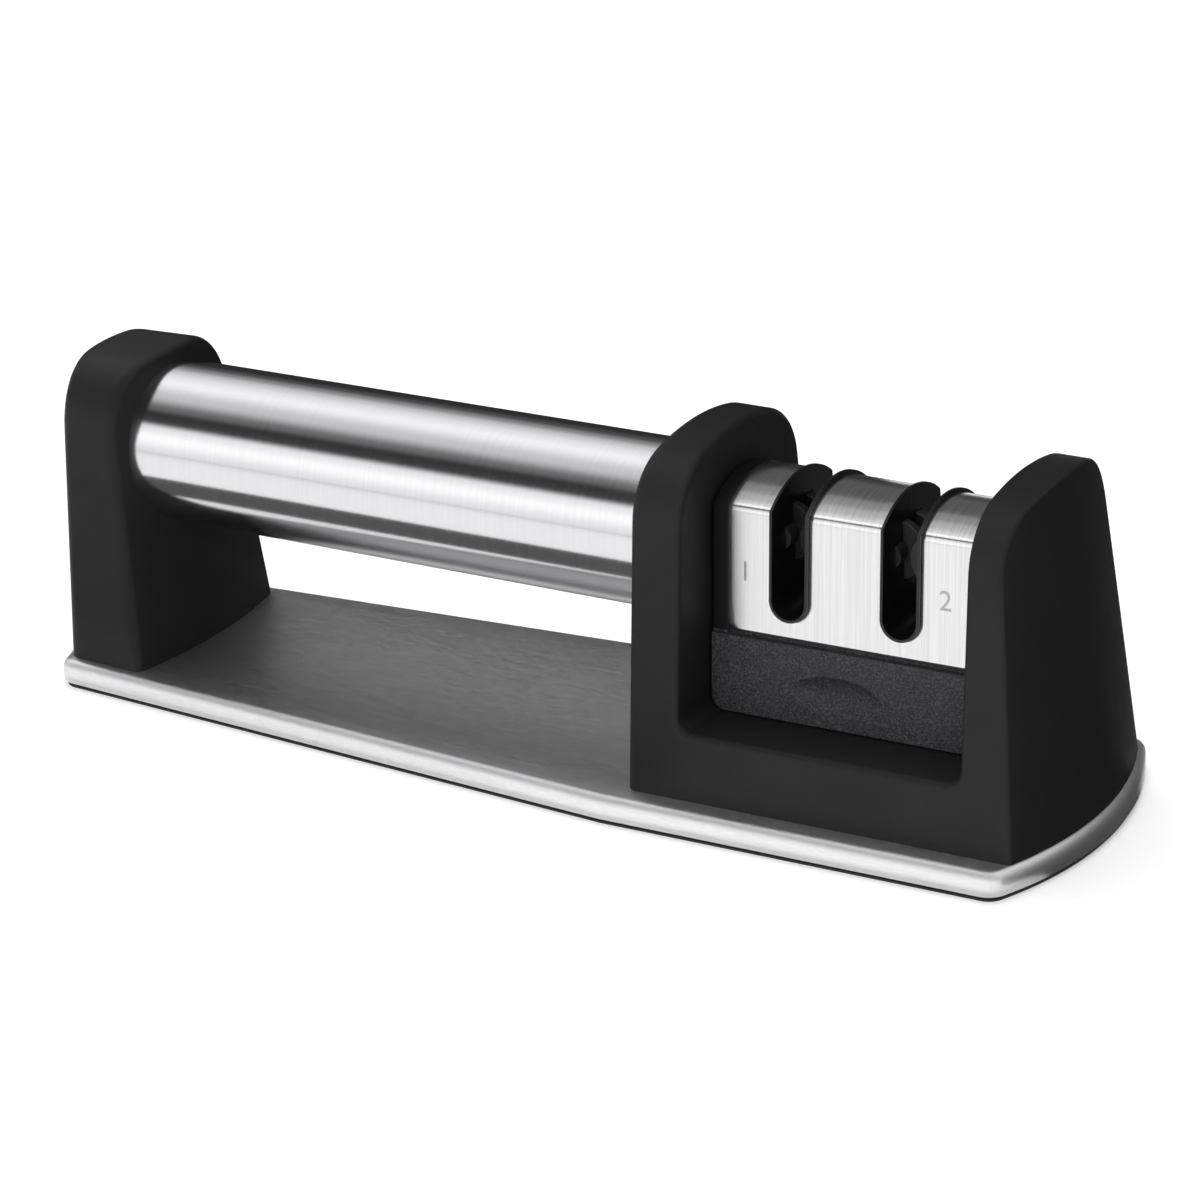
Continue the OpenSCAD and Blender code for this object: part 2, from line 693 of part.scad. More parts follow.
base_pan();
base_core();
base_mat();
base_screws(post_screw_at);  // post_screws
base_screws(head_screw_at);  // head_screws
handle_post();
handle_tube();
head_housing();
cartridge_front_shell();
cartridge_rear_shell();
cartridge_cover();
cartridge_screws();
axle(0, 0);  // coarse_axle_left
axle(0, 1);  // coarse_axle_right
axle(1, 0);  // fine_axle_left
axle(1, 1);  // fine_axle_right
hub(0, 0);  // coarse_hub_left
hub(0, 1);  // coarse_hub_right
hub(1, 0);  // fine_hub_left
hub(1, 1);  // fine_hub_right
disc(0, 0, 0);  // coarse_disc_left_front
disc(0, 0, 1);  // coarse_disc_left_rear
disc(0, 1, 0);  // coarse_disc_right_front
disc(0, 1, 1);  // coarse_disc_right_middle
disc(0, 1, 2);  // coarse_disc_right_rear
disc(1, 0, 0);  // fine_disc_left_front
disc(1, 0, 1);  // fine_disc_left_rear
disc(1, 1, 0);  // fine_disc_right_front
disc(1, 1, 1);  // fine_disc_right_middle
disc(1, 1, 2);  // fine_disc_right_rear
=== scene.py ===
"""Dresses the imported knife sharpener: smooth forms, finishes, stage and camera."""

import json

import bmesh
import bpy
import numpy as np
from bpy.props import FloatProperty, FloatVectorProperty, IntProperty, PointerProperty
from mathutils import Matrix, Vector

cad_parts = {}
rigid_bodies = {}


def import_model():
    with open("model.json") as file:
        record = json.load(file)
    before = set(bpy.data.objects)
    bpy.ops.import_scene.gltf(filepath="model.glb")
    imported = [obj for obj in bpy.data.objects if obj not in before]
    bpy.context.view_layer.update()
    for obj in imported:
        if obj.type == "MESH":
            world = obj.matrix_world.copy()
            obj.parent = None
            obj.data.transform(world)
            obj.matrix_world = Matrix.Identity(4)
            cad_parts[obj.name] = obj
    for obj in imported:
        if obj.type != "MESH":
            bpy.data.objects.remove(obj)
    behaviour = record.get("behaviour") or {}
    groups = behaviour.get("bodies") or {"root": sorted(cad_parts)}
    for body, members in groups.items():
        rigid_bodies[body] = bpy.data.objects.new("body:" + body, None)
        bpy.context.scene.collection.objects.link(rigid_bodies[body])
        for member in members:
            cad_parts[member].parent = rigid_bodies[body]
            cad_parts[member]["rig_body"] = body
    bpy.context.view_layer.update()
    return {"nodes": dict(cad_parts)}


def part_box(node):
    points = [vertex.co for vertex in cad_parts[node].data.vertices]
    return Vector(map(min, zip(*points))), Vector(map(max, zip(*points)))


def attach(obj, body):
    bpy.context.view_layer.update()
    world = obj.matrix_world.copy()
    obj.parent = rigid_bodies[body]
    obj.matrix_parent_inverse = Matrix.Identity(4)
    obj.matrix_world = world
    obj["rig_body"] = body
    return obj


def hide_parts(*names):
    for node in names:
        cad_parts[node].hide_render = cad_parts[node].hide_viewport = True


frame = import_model()

bl_info = {
    "name": "Two-stage knife sharpener",
    "version": (1, 0, 0),
    "blender": (4, 5, 0),
    "location": "View3D > Sidebar > Sharpener",
    "description": "Builds the looks of a pull-through knife sharpener round its packed solids",
    "category": "Object",
}

MM = 0.001


# Sizes in millimetres and degrees that the solids share, as the part's source has them

# Base
BASE_LEN = 209.0
BASE_W = 63.0
POST_TAPER = 3.9
HEAD_TAPER = 1.0
POST_END_R = 57.0
HEAD_END_R = 65.0
CORNER_R = 4.0
BASE_H = 5.2
PAN_T = 0.8
MAT_T = 1.1
MAT_INSET = 0.6

# Handle tube
TUBE_D = 30.0
TUBE_WALL = 1.0
TUBE_Z = 43.8
TUBE_SEAT = 4.0

# Post
POST_HALF = 21.8
POST_SETBACK = 1.7
POST_T = 23.2
POST_TOP = 61.6
POST_SIDE_LEAN = 4.2
POST_INNER_LEAN = 5.2
POST_OUTER_LEAN = 2.6
POST_BOW_R = 88.0
POST_SHOULDER_R = 12.5
POST_CREST_R = 95.0

# Head, its bay and its guide ribs
HEAD_SETBACK = 2.7
HEAD_INSET = 4.8
HEAD_TOP = 64.4
HEAD_SIDE_LEAN = 6.5
HEAD_OUTER_LEAN = 6.0
HEAD_BOW_R = 66.0
TOWER_SETBACK = 1.5
HEAD_SHOULDER_R = 12.5
HEAD_CREST_R = 53.0
PILLAR_T = 9.9
TOWER_T = 14.7
BAY_LEN = 52.8
BAY_FLOOR = 17.0
BAY_CORNER_R = 2.6
GUIDE_T = 1.0
GUIDE_W = 5.0
GUIDE_H = 28.8

# Cartridge and its cover
BAY_GAP = 0.6
SLIDE_GAP = 0.3
SEAT_GAP = 0.05
CART_HALF = 14.2
CART_LEAN = 4.8
BEND_H = 36.6
CROWN_H = 3.6
LEDGE_H = 14.0
LEDGE_PROUD = 0.6
COVER_GAP = 1.1
COVER_T = 0.5
RAIL_W = 2.9
COVER_CORNER_R = 1.8
SLOT_PITCH = 20.8
SLOTS_SHIFT = 0.8
SLOT_W = 6.2
LIP_T = 0.5
SLOT_FOOT_H = 18.4

# Discs
DISC_D = 10.8
HUB_D = 4.6

# Sizes in millimetres that only the finished surfaces have

MAT_CHAMFER = 0.1
GROOVE_LOW = 0.45
GROOVE_HIGH = 0.67
GROOVE_SLOPE = 0.05
GUIDE_EDGE_R = 0.3
COVER_EDGE = 0.09
DISC_CHAMFER = 0.2
DISC_SIDES = 72
NUMERAL_T = 0.02
WELD = 0.0004
# Share of the fold by which the cover's bend is drawn in along Y and Z
BEND_PULL = (0.1375, 0.1875)
# Power that crowds the crown's grid rows towards its bend
CROWN_CROWDING = 1.4

# Numerals on the cover, with the X and Z of their middles in millimetres
NUMERALS = (("1", 42.2, 42.4), ("2", 79.6, 43.0))
# Height of a numeral by the font's size
CAP_HEIGHT = 0.72

# Grid steps over a face, a rounded rim and half of an end wall, and rounds in which a
# rim's place settles on its wall
FACE_STEPS = 14
RIM_STEPS = 6
WALL_STEPS = 6
SETTLE_ROUNDS = 5

# Places that follow from the shared sizes

POST_END = -BASE_LEN / 2 + POST_SETBACK
POST_INNER = POST_END + POST_T
TOWER_END = BASE_LEN / 2 - TOWER_SETBACK
BAY_X1 = TOWER_END - TOWER_T
BAY_X0 = BAY_X1 - BAY_LEN
HEAD_X = BAY_X0 - PILLAR_T
WIDEST_X = HEAD_X - HEAD_SETBACK
CART_X = (BAY_X0 + BAY_X1) / 2
TUBE_TOP = TUBE_Z + TUBE_D / 2
TUBE_X0 = POST_INNER - np.tan(np.radians(POST_INNER_LEAN)) * (TUBE_TOP - BASE_H) - TUBE_SEAT
TUBE_X1 = HEAD_X + TUBE_SEAT
CART_FOOT = BAY_FLOOR + SLIDE_GAP
BEND_Z = BAY_FLOOR + BEND_H
COVER_Z = BAY_FLOOR + LEDGE_H + COVER_GAP
COVER_X0 = CART_X - BAY_LEN / 2 + BAY_GAP + RAIL_W + SEAT_GAP
COVER_X1 = CART_X + BAY_LEN / 2 - BAY_GAP - RAIL_W - SEAT_GAP
LOW = BAY_FLOOR + BAY_CORNER_R
SLOTS_X = (CART_X - SLOTS_SHIFT - SLOT_PITCH / 2, CART_X - SLOTS_SHIFT + SLOT_PITCH / 2)
# Top of the cartridge's coarse grain; above it the plastic is smoother and much darker, partly its
# polish and partly painted shade of the slots
GRAIN_TOP = COVER_Z - 0.6
# Heights between which the pan's edge turns from satin to brushed, and the satin's roughness
SATIN_BAND = (BASE_H - 0.5, BASE_H - 0.02)
SATIN_ROUGHNESS = 0.5


def tan(degrees):
    """Tangent of an angle in degrees."""
    return np.tan(np.radians(degrees))


def points(*axes):
    """Points from their coordinates, which may be arrays and numbers."""
    return np.stack(np.broadcast_arrays(*axes), -1)


def arc(centre, radius, start, end, steps):
    """Points of an arc: centre + radius (cos t, sin t), with t even from start to end."""
    t = np.radians(np.linspace(start, end, steps + 1))
    return centre + radius * points(np.cos(t), np.sin(t))


def meet(p, t, centre, radius):
    """Point where the ray from p along the unit vector t comes to radius from centre:
    p + (sqrt(b^2 - |q|^2 + radius^2) - b) t, with q = p - centre and b = q . t."""
    q = p - centre
    b = (q * t).sum(-1, keepdims=True)
    return p + (np.sqrt(b * b - (q * q).sum(-1, keepdims=True) + radius * radius) - b) * t


# Meshes

def sheet_of(grid):
    """Vertices and quads of a grid of points, rows by columns."""
    rows, cols = grid.shape[:2]
    index = np.arange(rows * cols).reshape(rows, cols)
    quads = np.stack([index[:-1, :-1], index[:-1, 1:], index[1:, 1:], index[1:, :-1]], -1)
    return grid.reshape(-1, 3), quads.reshape(-1, 4)


def new_mesh(name, grids, sharp=32.0, across=None):
    """Object of several grids in millimetres, welded where they meet, smooth below the
    sharp angle, with faces that point outwards. across holds the grids of a vector
    attribute of that name."""
    verts, quads, count = [], [], 0
    for grid in grids:
        v, q = sheet_of(np.asarray(grid, float))
        verts.append(v)
        quads.append(q + count)
        count += len(v)
    verts = np.concatenate(verts) * MM
    quads = np.concatenate(quads)
    mesh = bpy.data.meshes.new(name)
    mesh.from_pydata(verts.tolist(), [], quads.tolist())
    if across is not None:
        layer = mesh.attributes.new("across", "FLOAT_VECTOR", "POINT")
        layer.data.foreach_set("vector", np.concatenate([a.reshape(-1, 3) for a in across]).ravel())
    tidy = bmesh.new()
    tidy.from_mesh(mesh)
    bmesh.ops.remove_doubles(tidy, verts=tidy.verts, dist=WELD * MM)
    bmesh.ops.dissolve_degenerate(tidy, edges=tidy.edges, dist=WELD * MM)
    bmesh.ops.recalc_face_normals(tidy, faces=tidy.faces)
    top = max(tidy.faces, key=lambda f: f.calc_center_median().z)
    if top.normal.z < 0:
        bmesh.ops.reverse_faces(tidy, faces=tidy.faces)
    tidy.to_mesh(mesh)
    tidy.free()
    mesh.polygons.foreach_set("use_smooth", np.ones(len(mesh.polygons), bool))
    mesh.set_sharp_from_angle(angle=np.radians(sharp))
    mesh.update()
    piece = bpy.data.objects.new(name, mesh)
    bpy.context.scene.collection.objects.link(piece)
    return piece


def settle(piece, body, material, nodes=()):
    """Gives a piece its finish and its body, and hides the solids that it stands for."""
    piece.data.materials.clear()
    piece.data.materials.append(material)
    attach(piece, body)
    if nodes:
        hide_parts(*nodes)


def walled(piece, thickness):
    """Gives an outer skin its sheet's thickness, in millimetres, on the inside."""
    wall = piece.modifiers.new("sheet", "SOLIDIFY")
    wall.thickness = thickness * MM
    wall.offset = -1


def bevelled(piece, width, segments, angle):
    """Rounds the edges of a piece that are sharper than the angle by width, in millimetres."""
    edge = piece.modifiers.new("rounded edges", "BEVEL")
    edge.width = width * MM
    edge.segments = segments
    edge.limit_method = "ANGLE"
    edge.angle_limit = np.radians(angle)
    edge.harden_normals = False


def revolved(profile, segments, place, axis):
    """Grid of a closed profile of (along, radius) points turned round an axis through
    place: the point at turn t is place + along axis + radius (cos t u + sin t w)."""
    lead, u, w = np.roll(np.eye(3), -"XYZ".index(axis), 0)
    t = np.linspace(0, 2 * np.pi, segments + 1)[:, None]
    profile = np.asarray(profile, float)[:, None]
    return place + profile[..., :1] * lead + profile[..., 1:] * (np.cos(t) * u + np.sin(t) * w)


# Forms

def corner_centre(end_c, end_r, side, taper):
    """Centre of the corner between a tapered long side and a bowed end."""
    a = np.radians(taper)
    p = np.array([WIDEST_X, BASE_W / 2]) - CORNER_R * np.array([side * np.sin(a), np.cos(a)])
    along = np.array([side * np.cos(a), -np.sin(a)])
    return meet(p, along, np.array([end_c, 0.0]), end_r - CORNER_R)


def base_half_outline(inset, steps):
    """Half of the base's outline at y >= 0 from the head's end to the post's end, inset
    inside its edge: a bowed end, a round corner, two tapered sides, and the same again."""
    head_c = BASE_LEN / 2 - HEAD_END_R
    post_c = -BASE_LEN / 2 + POST_END_R
    a = corner_centre(head_c, HEAD_END_R, 1, HEAD_TAPER)
    b = corner_centre(post_c, POST_END_R, -1, POST_TAPER)
    ta = np.degrees(np.arctan2(a[1], a[0] - head_c))
    tb = np.degrees(np.arctan2(b[1], b[0] - post_c))
    head_corner = arc(a, CORNER_R - inset, ta, 90 - HEAD_TAPER, steps)
    post_corner = arc(b, CORNER_R - inset, 90 + POST_TAPER, tb, steps)
    widest = np.array([WIDEST_X, BASE_W / 2 - inset])
    k = np.linspace(0, 1, 13)[1:-1, None]
    return np.concatenate([
        arc((head_c, 0), HEAD_END_R - inset, 0, ta, 2 * steps)[:-1],
        head_corner,
        head_corner[-1] + (widest - head_corner[-1]) * k,
        widest[None],
        widest + (post_corner[0] - widest) * k,
        post_corner,
        arc((post_c, 0), POST_END_R - inset, tb, 180, 2 * steps)[1:],
    ])


def up_the_wall(grid):
    """Unit vectors from each row of a grid towards the next."""
    step = np.gradient(grid, axis=0)
    return step / np.linalg.norm(step, axis=-1, keepdims=True)


def round_the_base(profile, steps=10, lid_steps=12, lids=(True, True)):
    """Grids of a profile of (inset, height) points carried round the base's outline. A
    lid at either end is the grid (X(u), Y(u) v) with v from -1 to 1."""
    halves = np.stack([base_half_outline(d, steps) for d, _ in profile])
    z = np.array([z for _, z in profile])
    wall = points(halves[..., 0], halves[..., 1], z[:, None])
    grids = [wall, wall * (1, -1, 1)]
    v = np.linspace(-1, 1, lid_steps + 1)[:, None]
    for at, lid in zip((0, -1), lids):
        if lid:
            x, y = halves[at][:, 0], halves[at][:, 1]
            grids.append(points(x, y * v, z[at]))
    return grids


def bell(half, foot, top, lean, shoulder_r, crest_r, inset, s):
    """Point (y, z) of a bell-shaped section: s from 0 to 1 is the leaning side, to 2 the
    round shoulder that touches both, and to 3 half of the flat-arched crest."""
    half, inset, s = np.broadcast_arrays(half, inset, s)
    a = np.radians(lean)
    start = points(half - shoulder_r * np.cos(a), foot - shoulder_r * np.sin(a))
    crest_c = np.array([0.0, top - crest_r])
    c = meet(start, np.array([-np.sin(a), np.cos(a)]), crest_c, crest_r - shoulder_r)
    end = np.arctan2(c[..., 1] - crest_c[1], c[..., 0])
    foot_p = points(half - inset / np.cos(a), foot)
    side_p = c + (shoulder_r - inset)[..., None] * np.array([np.cos(a), np.sin(a)])
    k = np.clip(s, 0, 1)[..., None]
    side = foot_p + (side_p - foot_p) * k
    t = a + (end - a) * np.clip(s - 1, 0, 1)
    shoulder = c + (shoulder_r - inset)[..., None] * points(np.cos(t), np.sin(t))
    t = end + (np.pi / 2 - end) * np.clip(s - 2, 0, 1)
    crest = crest_c + (crest_r - inset)[..., None] * points(np.cos(t), np.sin(t))
    s = s[..., None]
    return np.where(s <= 1, side, np.where(s <= 2, shoulder, crest))


def bell_rows(side, shoulder, crest):
    """Values of s from the foot to the crest of a bell."""
    return np.concatenate([
        np.linspace(0, 1, side + 1)[:-1],
        np.linspace(1, 2, shoulder + 1)[:-1],
        np.linspace(2, 3, crest + 1),
    ])


def cone_wall(centre, radius, lean, y, z, sign):
    """X of a leaning bowed wall: centre + sign sqrt((radius - tan(lean) (z - foot))^2 - y^2)."""
    r = radius - tan(lean) * (z - BASE_H)
    return centre + sign * np.sqrt(r * r - y * y)


def wall_and_rim(wall_x, rim):
    """Rows from the middle of a wall to its rim and over it, from the rim's points."""
    k = np.linspace(0, 1, WALL_STEPS + 1)[:-1]
    y, z = rim[:, :1, 1] * k, rim[:, :1, 2]
    return np.concatenate([points(wall_x(y, z), y, z), rim], 1)


def bell_block(section, left, right, left_r, right_r, rows):
    """Front half of a block between two walls: rows run up the section, columns run from
    the middle of the left wall over its rounded rim, the face and the right rim to the
    middle of the right wall. On a rim at angle t the block is inset by r (1 - cos t) and
    lies r (1 - sin t) inside its wall. Walls depend on y and z, so x is settled in steps."""
    s = rows[:, None]
    t = np.radians(np.linspace(90, 0, RIM_STEPS + 1))[None]

    def edge(wall_x, sign, r):
        """Rows from the middle of a wall over its rounded rim."""
        start = np.zeros((len(rows), RIM_STEPS + 1))
        x = wall_x(start, start + BASE_H)
        for _ in range(SETTLE_ROUNDS + 1):
            yz = section(x, r * (1 - np.cos(t)), s)
            x = wall_x(yz[..., 0], yz[..., 1]) + sign * r * (1 - np.sin(t))
        return wall_and_rim(wall_x, points(x, yz[..., 0], yz[..., 1]))

    a = edge(left, 1, left_r)
    b = edge(right, -1, right_r)[:, ::-1]
    u = np.linspace(0, 1, FACE_STEPS + 1)[1:-1][None]
    x0, x1 = a[:, -1:, 0], b[:, :1, 0]
    x = x0 + (x1 - x0) * u
    yz = section(x, 0.0, s)
    face = points(x, yz[..., 0], yz[..., 1])
    return np.concatenate([a, face, b], 1)


def mirrored(grid):
    """A front half (y up) and its mirror image behind the X-Z plane."""
    return [grid * (1, -1, 1), grid]


def post_section(x, inset, s):
    """Bell of the post at x; its half breadth tapers with the base."""
    half = POST_HALF - tan(POST_TAPER) * (POST_INNER - x)
    return bell(half, BASE_H, POST_TOP, POST_SIDE_LEAN, POST_SHOULDER_R, POST_CREST_R, inset, s)


def head_half(x):
    """Half breadth of the head's foot at x."""
    return BASE_W / 2 - HEAD_INSET - tan(HEAD_TAPER) * (x - WIDEST_X)


def head_section(x, inset, s):
    """Bell of the head at x, from the height LOW upwards."""
    half = head_half(x) - tan(HEAD_SIDE_LEAN) * (LOW - BASE_H)
    return bell(half, LOW, HEAD_TOP, HEAD_SIDE_LEAN, HEAD_SHOULDER_R, HEAD_CREST_R, inset, s)


def tower_wall(y, z):
    """X of the tower's bowed outer wall."""
    return cone_wall(TOWER_END - HEAD_BOW_R, HEAD_BOW_R, HEAD_OUTER_LEAN, y, z, 1)


def head_face(x, z, inset):
    """Y of the head's leaning side, inset inside it."""
    lean = np.radians(HEAD_SIDE_LEAN)
    return head_half(x) - np.tan(lean) * (z - BASE_H) - inset / np.cos(lean)


def low_rows(outer, outer_n, outer_r, inner, inner_n, inner_r, on_tower):
    """Front half of the head below the bays' sides. Each row runs from an outer point on
    the wall or the bottom to an inner point on the bay, over the rims and the face, and
    every point lies on the leaning side or inside it by the rim's inset."""
    t = np.radians(np.linspace(90, 0, RIM_STEPS + 1))

    def edge(p, n, r, bowed):
        """Rows from the middle of a wall over its rim of radius r, from the points p
        inwards along n; bowed rows lie on the tower's wall."""
        r, bowed = r[:, None], bowed[:, None]
        within, inset = r * (1 - np.sin(t)), r * (1 - np.cos(t))
        x = p[:, :1] + n[:, :1] * within
        z = p[:, 1:] + n[:, 1:] * within
        y = head_face(x, z, inset)
        for _ in range(SETTLE_ROUNDS):
            x = np.where(bowed, tower_wall(y, z) - within, x)
            y = head_face(x, z, inset)
        return wall_and_rim(lambda y, z: np.where(bowed, tower_wall(y, z), x[:, :1]),
                            points(x, y, z))

    a = edge(outer, outer_n, outer_r, on_tower)
    b = edge(inner, inner_n, inner_r, np.zeros(len(inner), bool))[:, ::-1]
    u = np.linspace(0, 1, FACE_STEPS + 1)[1:-1][None]
    x, z = (a[:, -1:, i] + (b[:, :1, i] - a[:, -1:, i]) * u for i in (0, 2))
    face = points(x, head_face(x, z, 0.0), z)
    return np.concatenate([a, face, b], 1)


def head_grid(rim_r, bay_r, tower_r):
    """Front half of the head as one grid: down the pillar, round the bay's corner, along
    the sill, round the other corner and up the tower."""
    rows = bell_rows(side=14, shoulder=14, crest=10)
    pillar = bell_block(head_section, lambda y, z: HEAD_X, lambda y, z: BAY_X0,
                        rim_r, bay_r, rows)[::-1]
    tower = bell_block(head_section, lambda y, z: BAY_X1, tower_wall,
                       bay_r, tower_r, rows)[:, ::-1]

    # Inner points: the bay's two corners, with a fan of directions n, and the sill
    fan = 8
    turn = np.radians(np.linspace(0, 90, fan + 1))
    c0 = np.array([BAY_X0 + BAY_CORNER_R, LOW])
    c1 = np.array([BAY_X1 - BAY_CORNER_R, LOW])
    n0 = points(-np.cos(turn), -np.sin(turn))
    n1 = (n0 * (-1, 1))[::-1]
    sill_x = np.linspace(c0[0], c1[0], 25)[1:-1]
    sill_n = np.tile([0.0, -1.0], (len(sill_x), 1))
    inner = np.concatenate([
        c0 + BAY_CORNER_R * n0, points(sill_x, BAY_FLOOR), c1 + BAY_CORNER_R * n1,
    ])
    inner_n = np.concatenate([n0, sill_n, n1])

    # Outer points: down the pillar's wall, along the foot and up the tower's wall
    half = fan // 2
    down = np.linspace(LOW, BASE_H, half + 1)
    foot_x = float(tower_wall(head_face(TOWER_END, BASE_H, 0.0), BASE_H))
    outer = np.concatenate([
        points(HEAD_X, down),
        points(np.linspace(HEAD_X + rim_r, c0[0], half), BASE_H),
        points(sill_x, BASE_H),
        points(np.linspace(c1[0], foot_x - tower_r, half), BASE_H),
        points(foot_x, down[::-1]),
    ])
    on_wall = np.arange(fan + 1) <= half
    wall_n = np.where(on_wall[:, None], [1.0, 0.0], [0.0, 1.0])
    outer_n = np.concatenate([wall_n, -sill_n, (wall_n * (-1, 1))[::-1]])
    outer_r = np.concatenate([
        np.where(on_wall, rim_r, 0.0), 0 * sill_x, np.where(on_wall, tower_r, 0.0)[::-1],
    ])
    on_tower = np.concatenate([0 * on_wall, 0 * sill_x, on_wall[::-1]]).astype(bool)
    low = low_rows(outer, outer_n, outer_r, inner, inner_n, np.full(len(inner), bay_r), on_tower)
    return np.concatenate([pillar[:-1], low, tower[1:]])


def bar(x0, x1, y0, y1, z0, z1, r):
    """Upright bar with rounded vertical edges: its rounded section at z0 and below z1,
    drawn in a little at z1, with flat ends that close on the middle."""
    cx, cy = (x0 + x1) / 2, (y0 + y1) / 2
    ring = np.concatenate([
        arc((x1 - r, y1 - r), r, 0, 90, 4), arc((x0 + r, y1 - r), r, 90, 180, 4),
        arc((x0 + r, y0 + r), r, 180, 270, 4), arc((x1 - r, y0 + r), r, 270, 360, 4),
    ])
    ring = np.concatenate([ring, ring[:1]])
    inner = ring * 0 + (cx, cy)
    top = inner + (ring - inner) * 0.8
    levels = [(inner, z0), (ring, z0), (ring, z1 - r), (top, z1), (inner, z1)]
    return np.stack([points(p[:, 0], p[:, 1], z) for p, z in levels])


def cart_half(x):
    """Half thickness of the cartridge's foot at x."""
    return CART_HALF - tan(HEAD_TAPER) * (x - WIDEST_X)


def cover_point(x, s, fold):
    """Point (y, z) of the steel cover's outer face at x: s from 0 to 1 climbs the leaning
    front, and to 2 follows the crown's arc to the middle. Near the bend, the point is
    drawn inwards by (1 - d / fold)^2 at the distance d from the bend, which softens it."""
    front_y = cart_half(x) - LEDGE_PROUD
    bend = front_y - tan(CART_LEAN) * (BEND_Z - CART_FOOT)
    r = (bend * bend + CROWN_H * CROWN_H) / (2 * CROWN_H)
    cz = BEND_Z + CROWN_H - r
    end = np.arctan2(BEND_Z - cz, bend)
    z = COVER_Z + (BEND_Z - COVER_Z) * np.clip(s, 0, 1)
    y = front_y - tan(CART_LEAN) * (z - CART_FOOT)
    t = end + (np.pi / 2 - end) * np.clip(s - 1, 0, 1)
    top_y, top_z = r * np.cos(t), cz + r * np.sin(t)
    y = np.where(s <= 1, y, top_y)
    z = np.where(s <= 1, z, top_z)
    away = np.hypot(y - bend, z - BEND_Z)
    pull = np.clip(1 - away / fold, 0, 1) ** 2 * fold
    return y - pull * BEND_PULL[0], z - pull * BEND_PULL[1]


def cover_grids(fold, columns=10):
    """Grids of the steel cover: three panels between its ends and the two slots. A panel's
    edges follow the round foot of a slot, x = slot -+ sqrt(r^2 - (c - z)^2), and the round
    lower corners; below a slot's foot the panels meet on its middle line."""
    r = SLOT_W / 2 + LIP_T + SEAT_GAP
    foot = BAY_FLOOR + SLOT_FOOT_H - LIP_T - SEAT_GAP
    centre = foot + r
    turn = np.linspace(0, np.pi / 2, 13)
    corner_top = COVER_Z + COVER_CORNER_R
    low_z = corner_top - COVER_CORNER_R * np.cos(np.linspace(0, np.pi / 2, 9))
    front = np.concatenate([
        low_z, np.linspace(low_z[-1], foot, 5)[1:-1], centre - r * np.cos(turn),
        np.linspace(centre, BEND_Z - fold, 8)[1:], np.linspace(BEND_Z - fold, BEND_Z, 7)[1:],
    ])
    crown = 1 + np.linspace(0, 1, 29)[1:] ** CROWN_CROWDING
    s = np.concatenate([(front - COVER_Z) / (BEND_Z - COVER_Z), crown])
    z = np.concatenate([front, np.full_like(crown, BEND_Z)])
    gap = np.where(z >= centre, r, np.sqrt(np.clip(r * r - (centre - z) ** 2, 0, None)))
    gap = np.where(z < foot + 1e-6, 0.0, gap)
    below = np.clip(corner_top - z, 0, None)
    cut = COVER_CORNER_R - np.sqrt(np.clip(COVER_CORNER_R ** 2 - below ** 2, 0, None))
    bounds = [COVER_X0 + cut]
    for slot in SLOTS_X:
        bounds += [slot - gap, slot + gap]
    bounds.append(COVER_X1 - cut)
    u = np.linspace(0, 1, columns + 1)[None]
    grids = []
    for left, right in zip(bounds[0::2], bounds[1::2]):
        x = left[:, None] + (right - left)[:, None] * u
        y, zz = cover_point(x, s[:, None], fold)
        grids += mirrored(points(x, y, zz))
    return grids


def disc_profile(low, high, inner, outer, chamfer):
    """Closed profile of a flat disc with chamfered rims."""
    return [(low, inner), (low, outer - chamfer), (low + chamfer, outer), (high - chamfer, outer),
            (high, outer - chamfer), (high, inner), (low, inner)]


# Finishes

def feed(tree, value, socket):
    """Links a socket to another one, or sets it to a constant."""
    if isinstance(value, bpy.types.NodeSocket):
        tree.links.new(value, socket)
    else:
        socket.default_value = value


def wire(tree, made, **inputs):
    """Feeds some inputs of a node by name, and returns the node."""
    for name, value in inputs.items():
        feed(tree, value, made.inputs[name.replace("_", " ")])
    return made


def node(tree, kind, **inputs):
    """New node with some of its inputs fed by name."""
    return wire(tree, tree.nodes.new(kind), **inputs)


def fed(tree, kind, values, operation=None):
    """New node with its inputs fed in order."""
    made = tree.nodes.new(kind)
    if operation:
        made.operation = operation
    for value, socket in zip(values, made.inputs):
        feed(tree, value, socket)
    return made


def maths(tree, operation, *values):
    """Output of a Math node on sockets and numbers."""
    return fed(tree, "ShaderNodeMath", values, operation).outputs[0]


def either(tree, factor, low, high):
    """Shader that is low at factor 0 and high at factor 1."""
    return fed(tree, "ShaderNodeMixShader", (factor, low, high)).outputs[0]


def mixed(tree, factor, low, high, kind="FLOAT"):
    """Number or colour that is low at factor 0 and high at factor 1."""
    made = tree.nodes.new("ShaderNodeMix")
    made.data_type = kind
    return wire(tree, made, Factor=factor, A=low, B=high).outputs["Result"]


def toned(tree, value, colour, dark, light):
    """Colour times a factor that goes from dark to light with a value from 0 to 1."""
    low, high = ((*(min(c * k, 1.0) for c in colour), 1) for k in (dark, light))
    return mixed(tree, value, low, high, "RGBA")


def coords(tree, kind="Object"):
    """Texture coordinates of a kind."""
    return tree.nodes.new("ShaderNodeTexCoord").outputs[kind]


def parts_of(tree, vector):
    """X, Y and Z of a vector."""
    return node(tree, "ShaderNodeSeparateXYZ", Vector=vector).outputs


def streaks(tree, scale, detail=3.0):
    """Noise on Object coordinates that are stretched by scale, per metre."""
    place = node(tree, "ShaderNodeMapping", Vector=coords(tree), Scale=scale)
    return node(tree, "ShaderNodeTexNoise", Vector=place.outputs[0], Scale=1.0, Detail=detail,
                Roughness=0.6).outputs["Fac"]


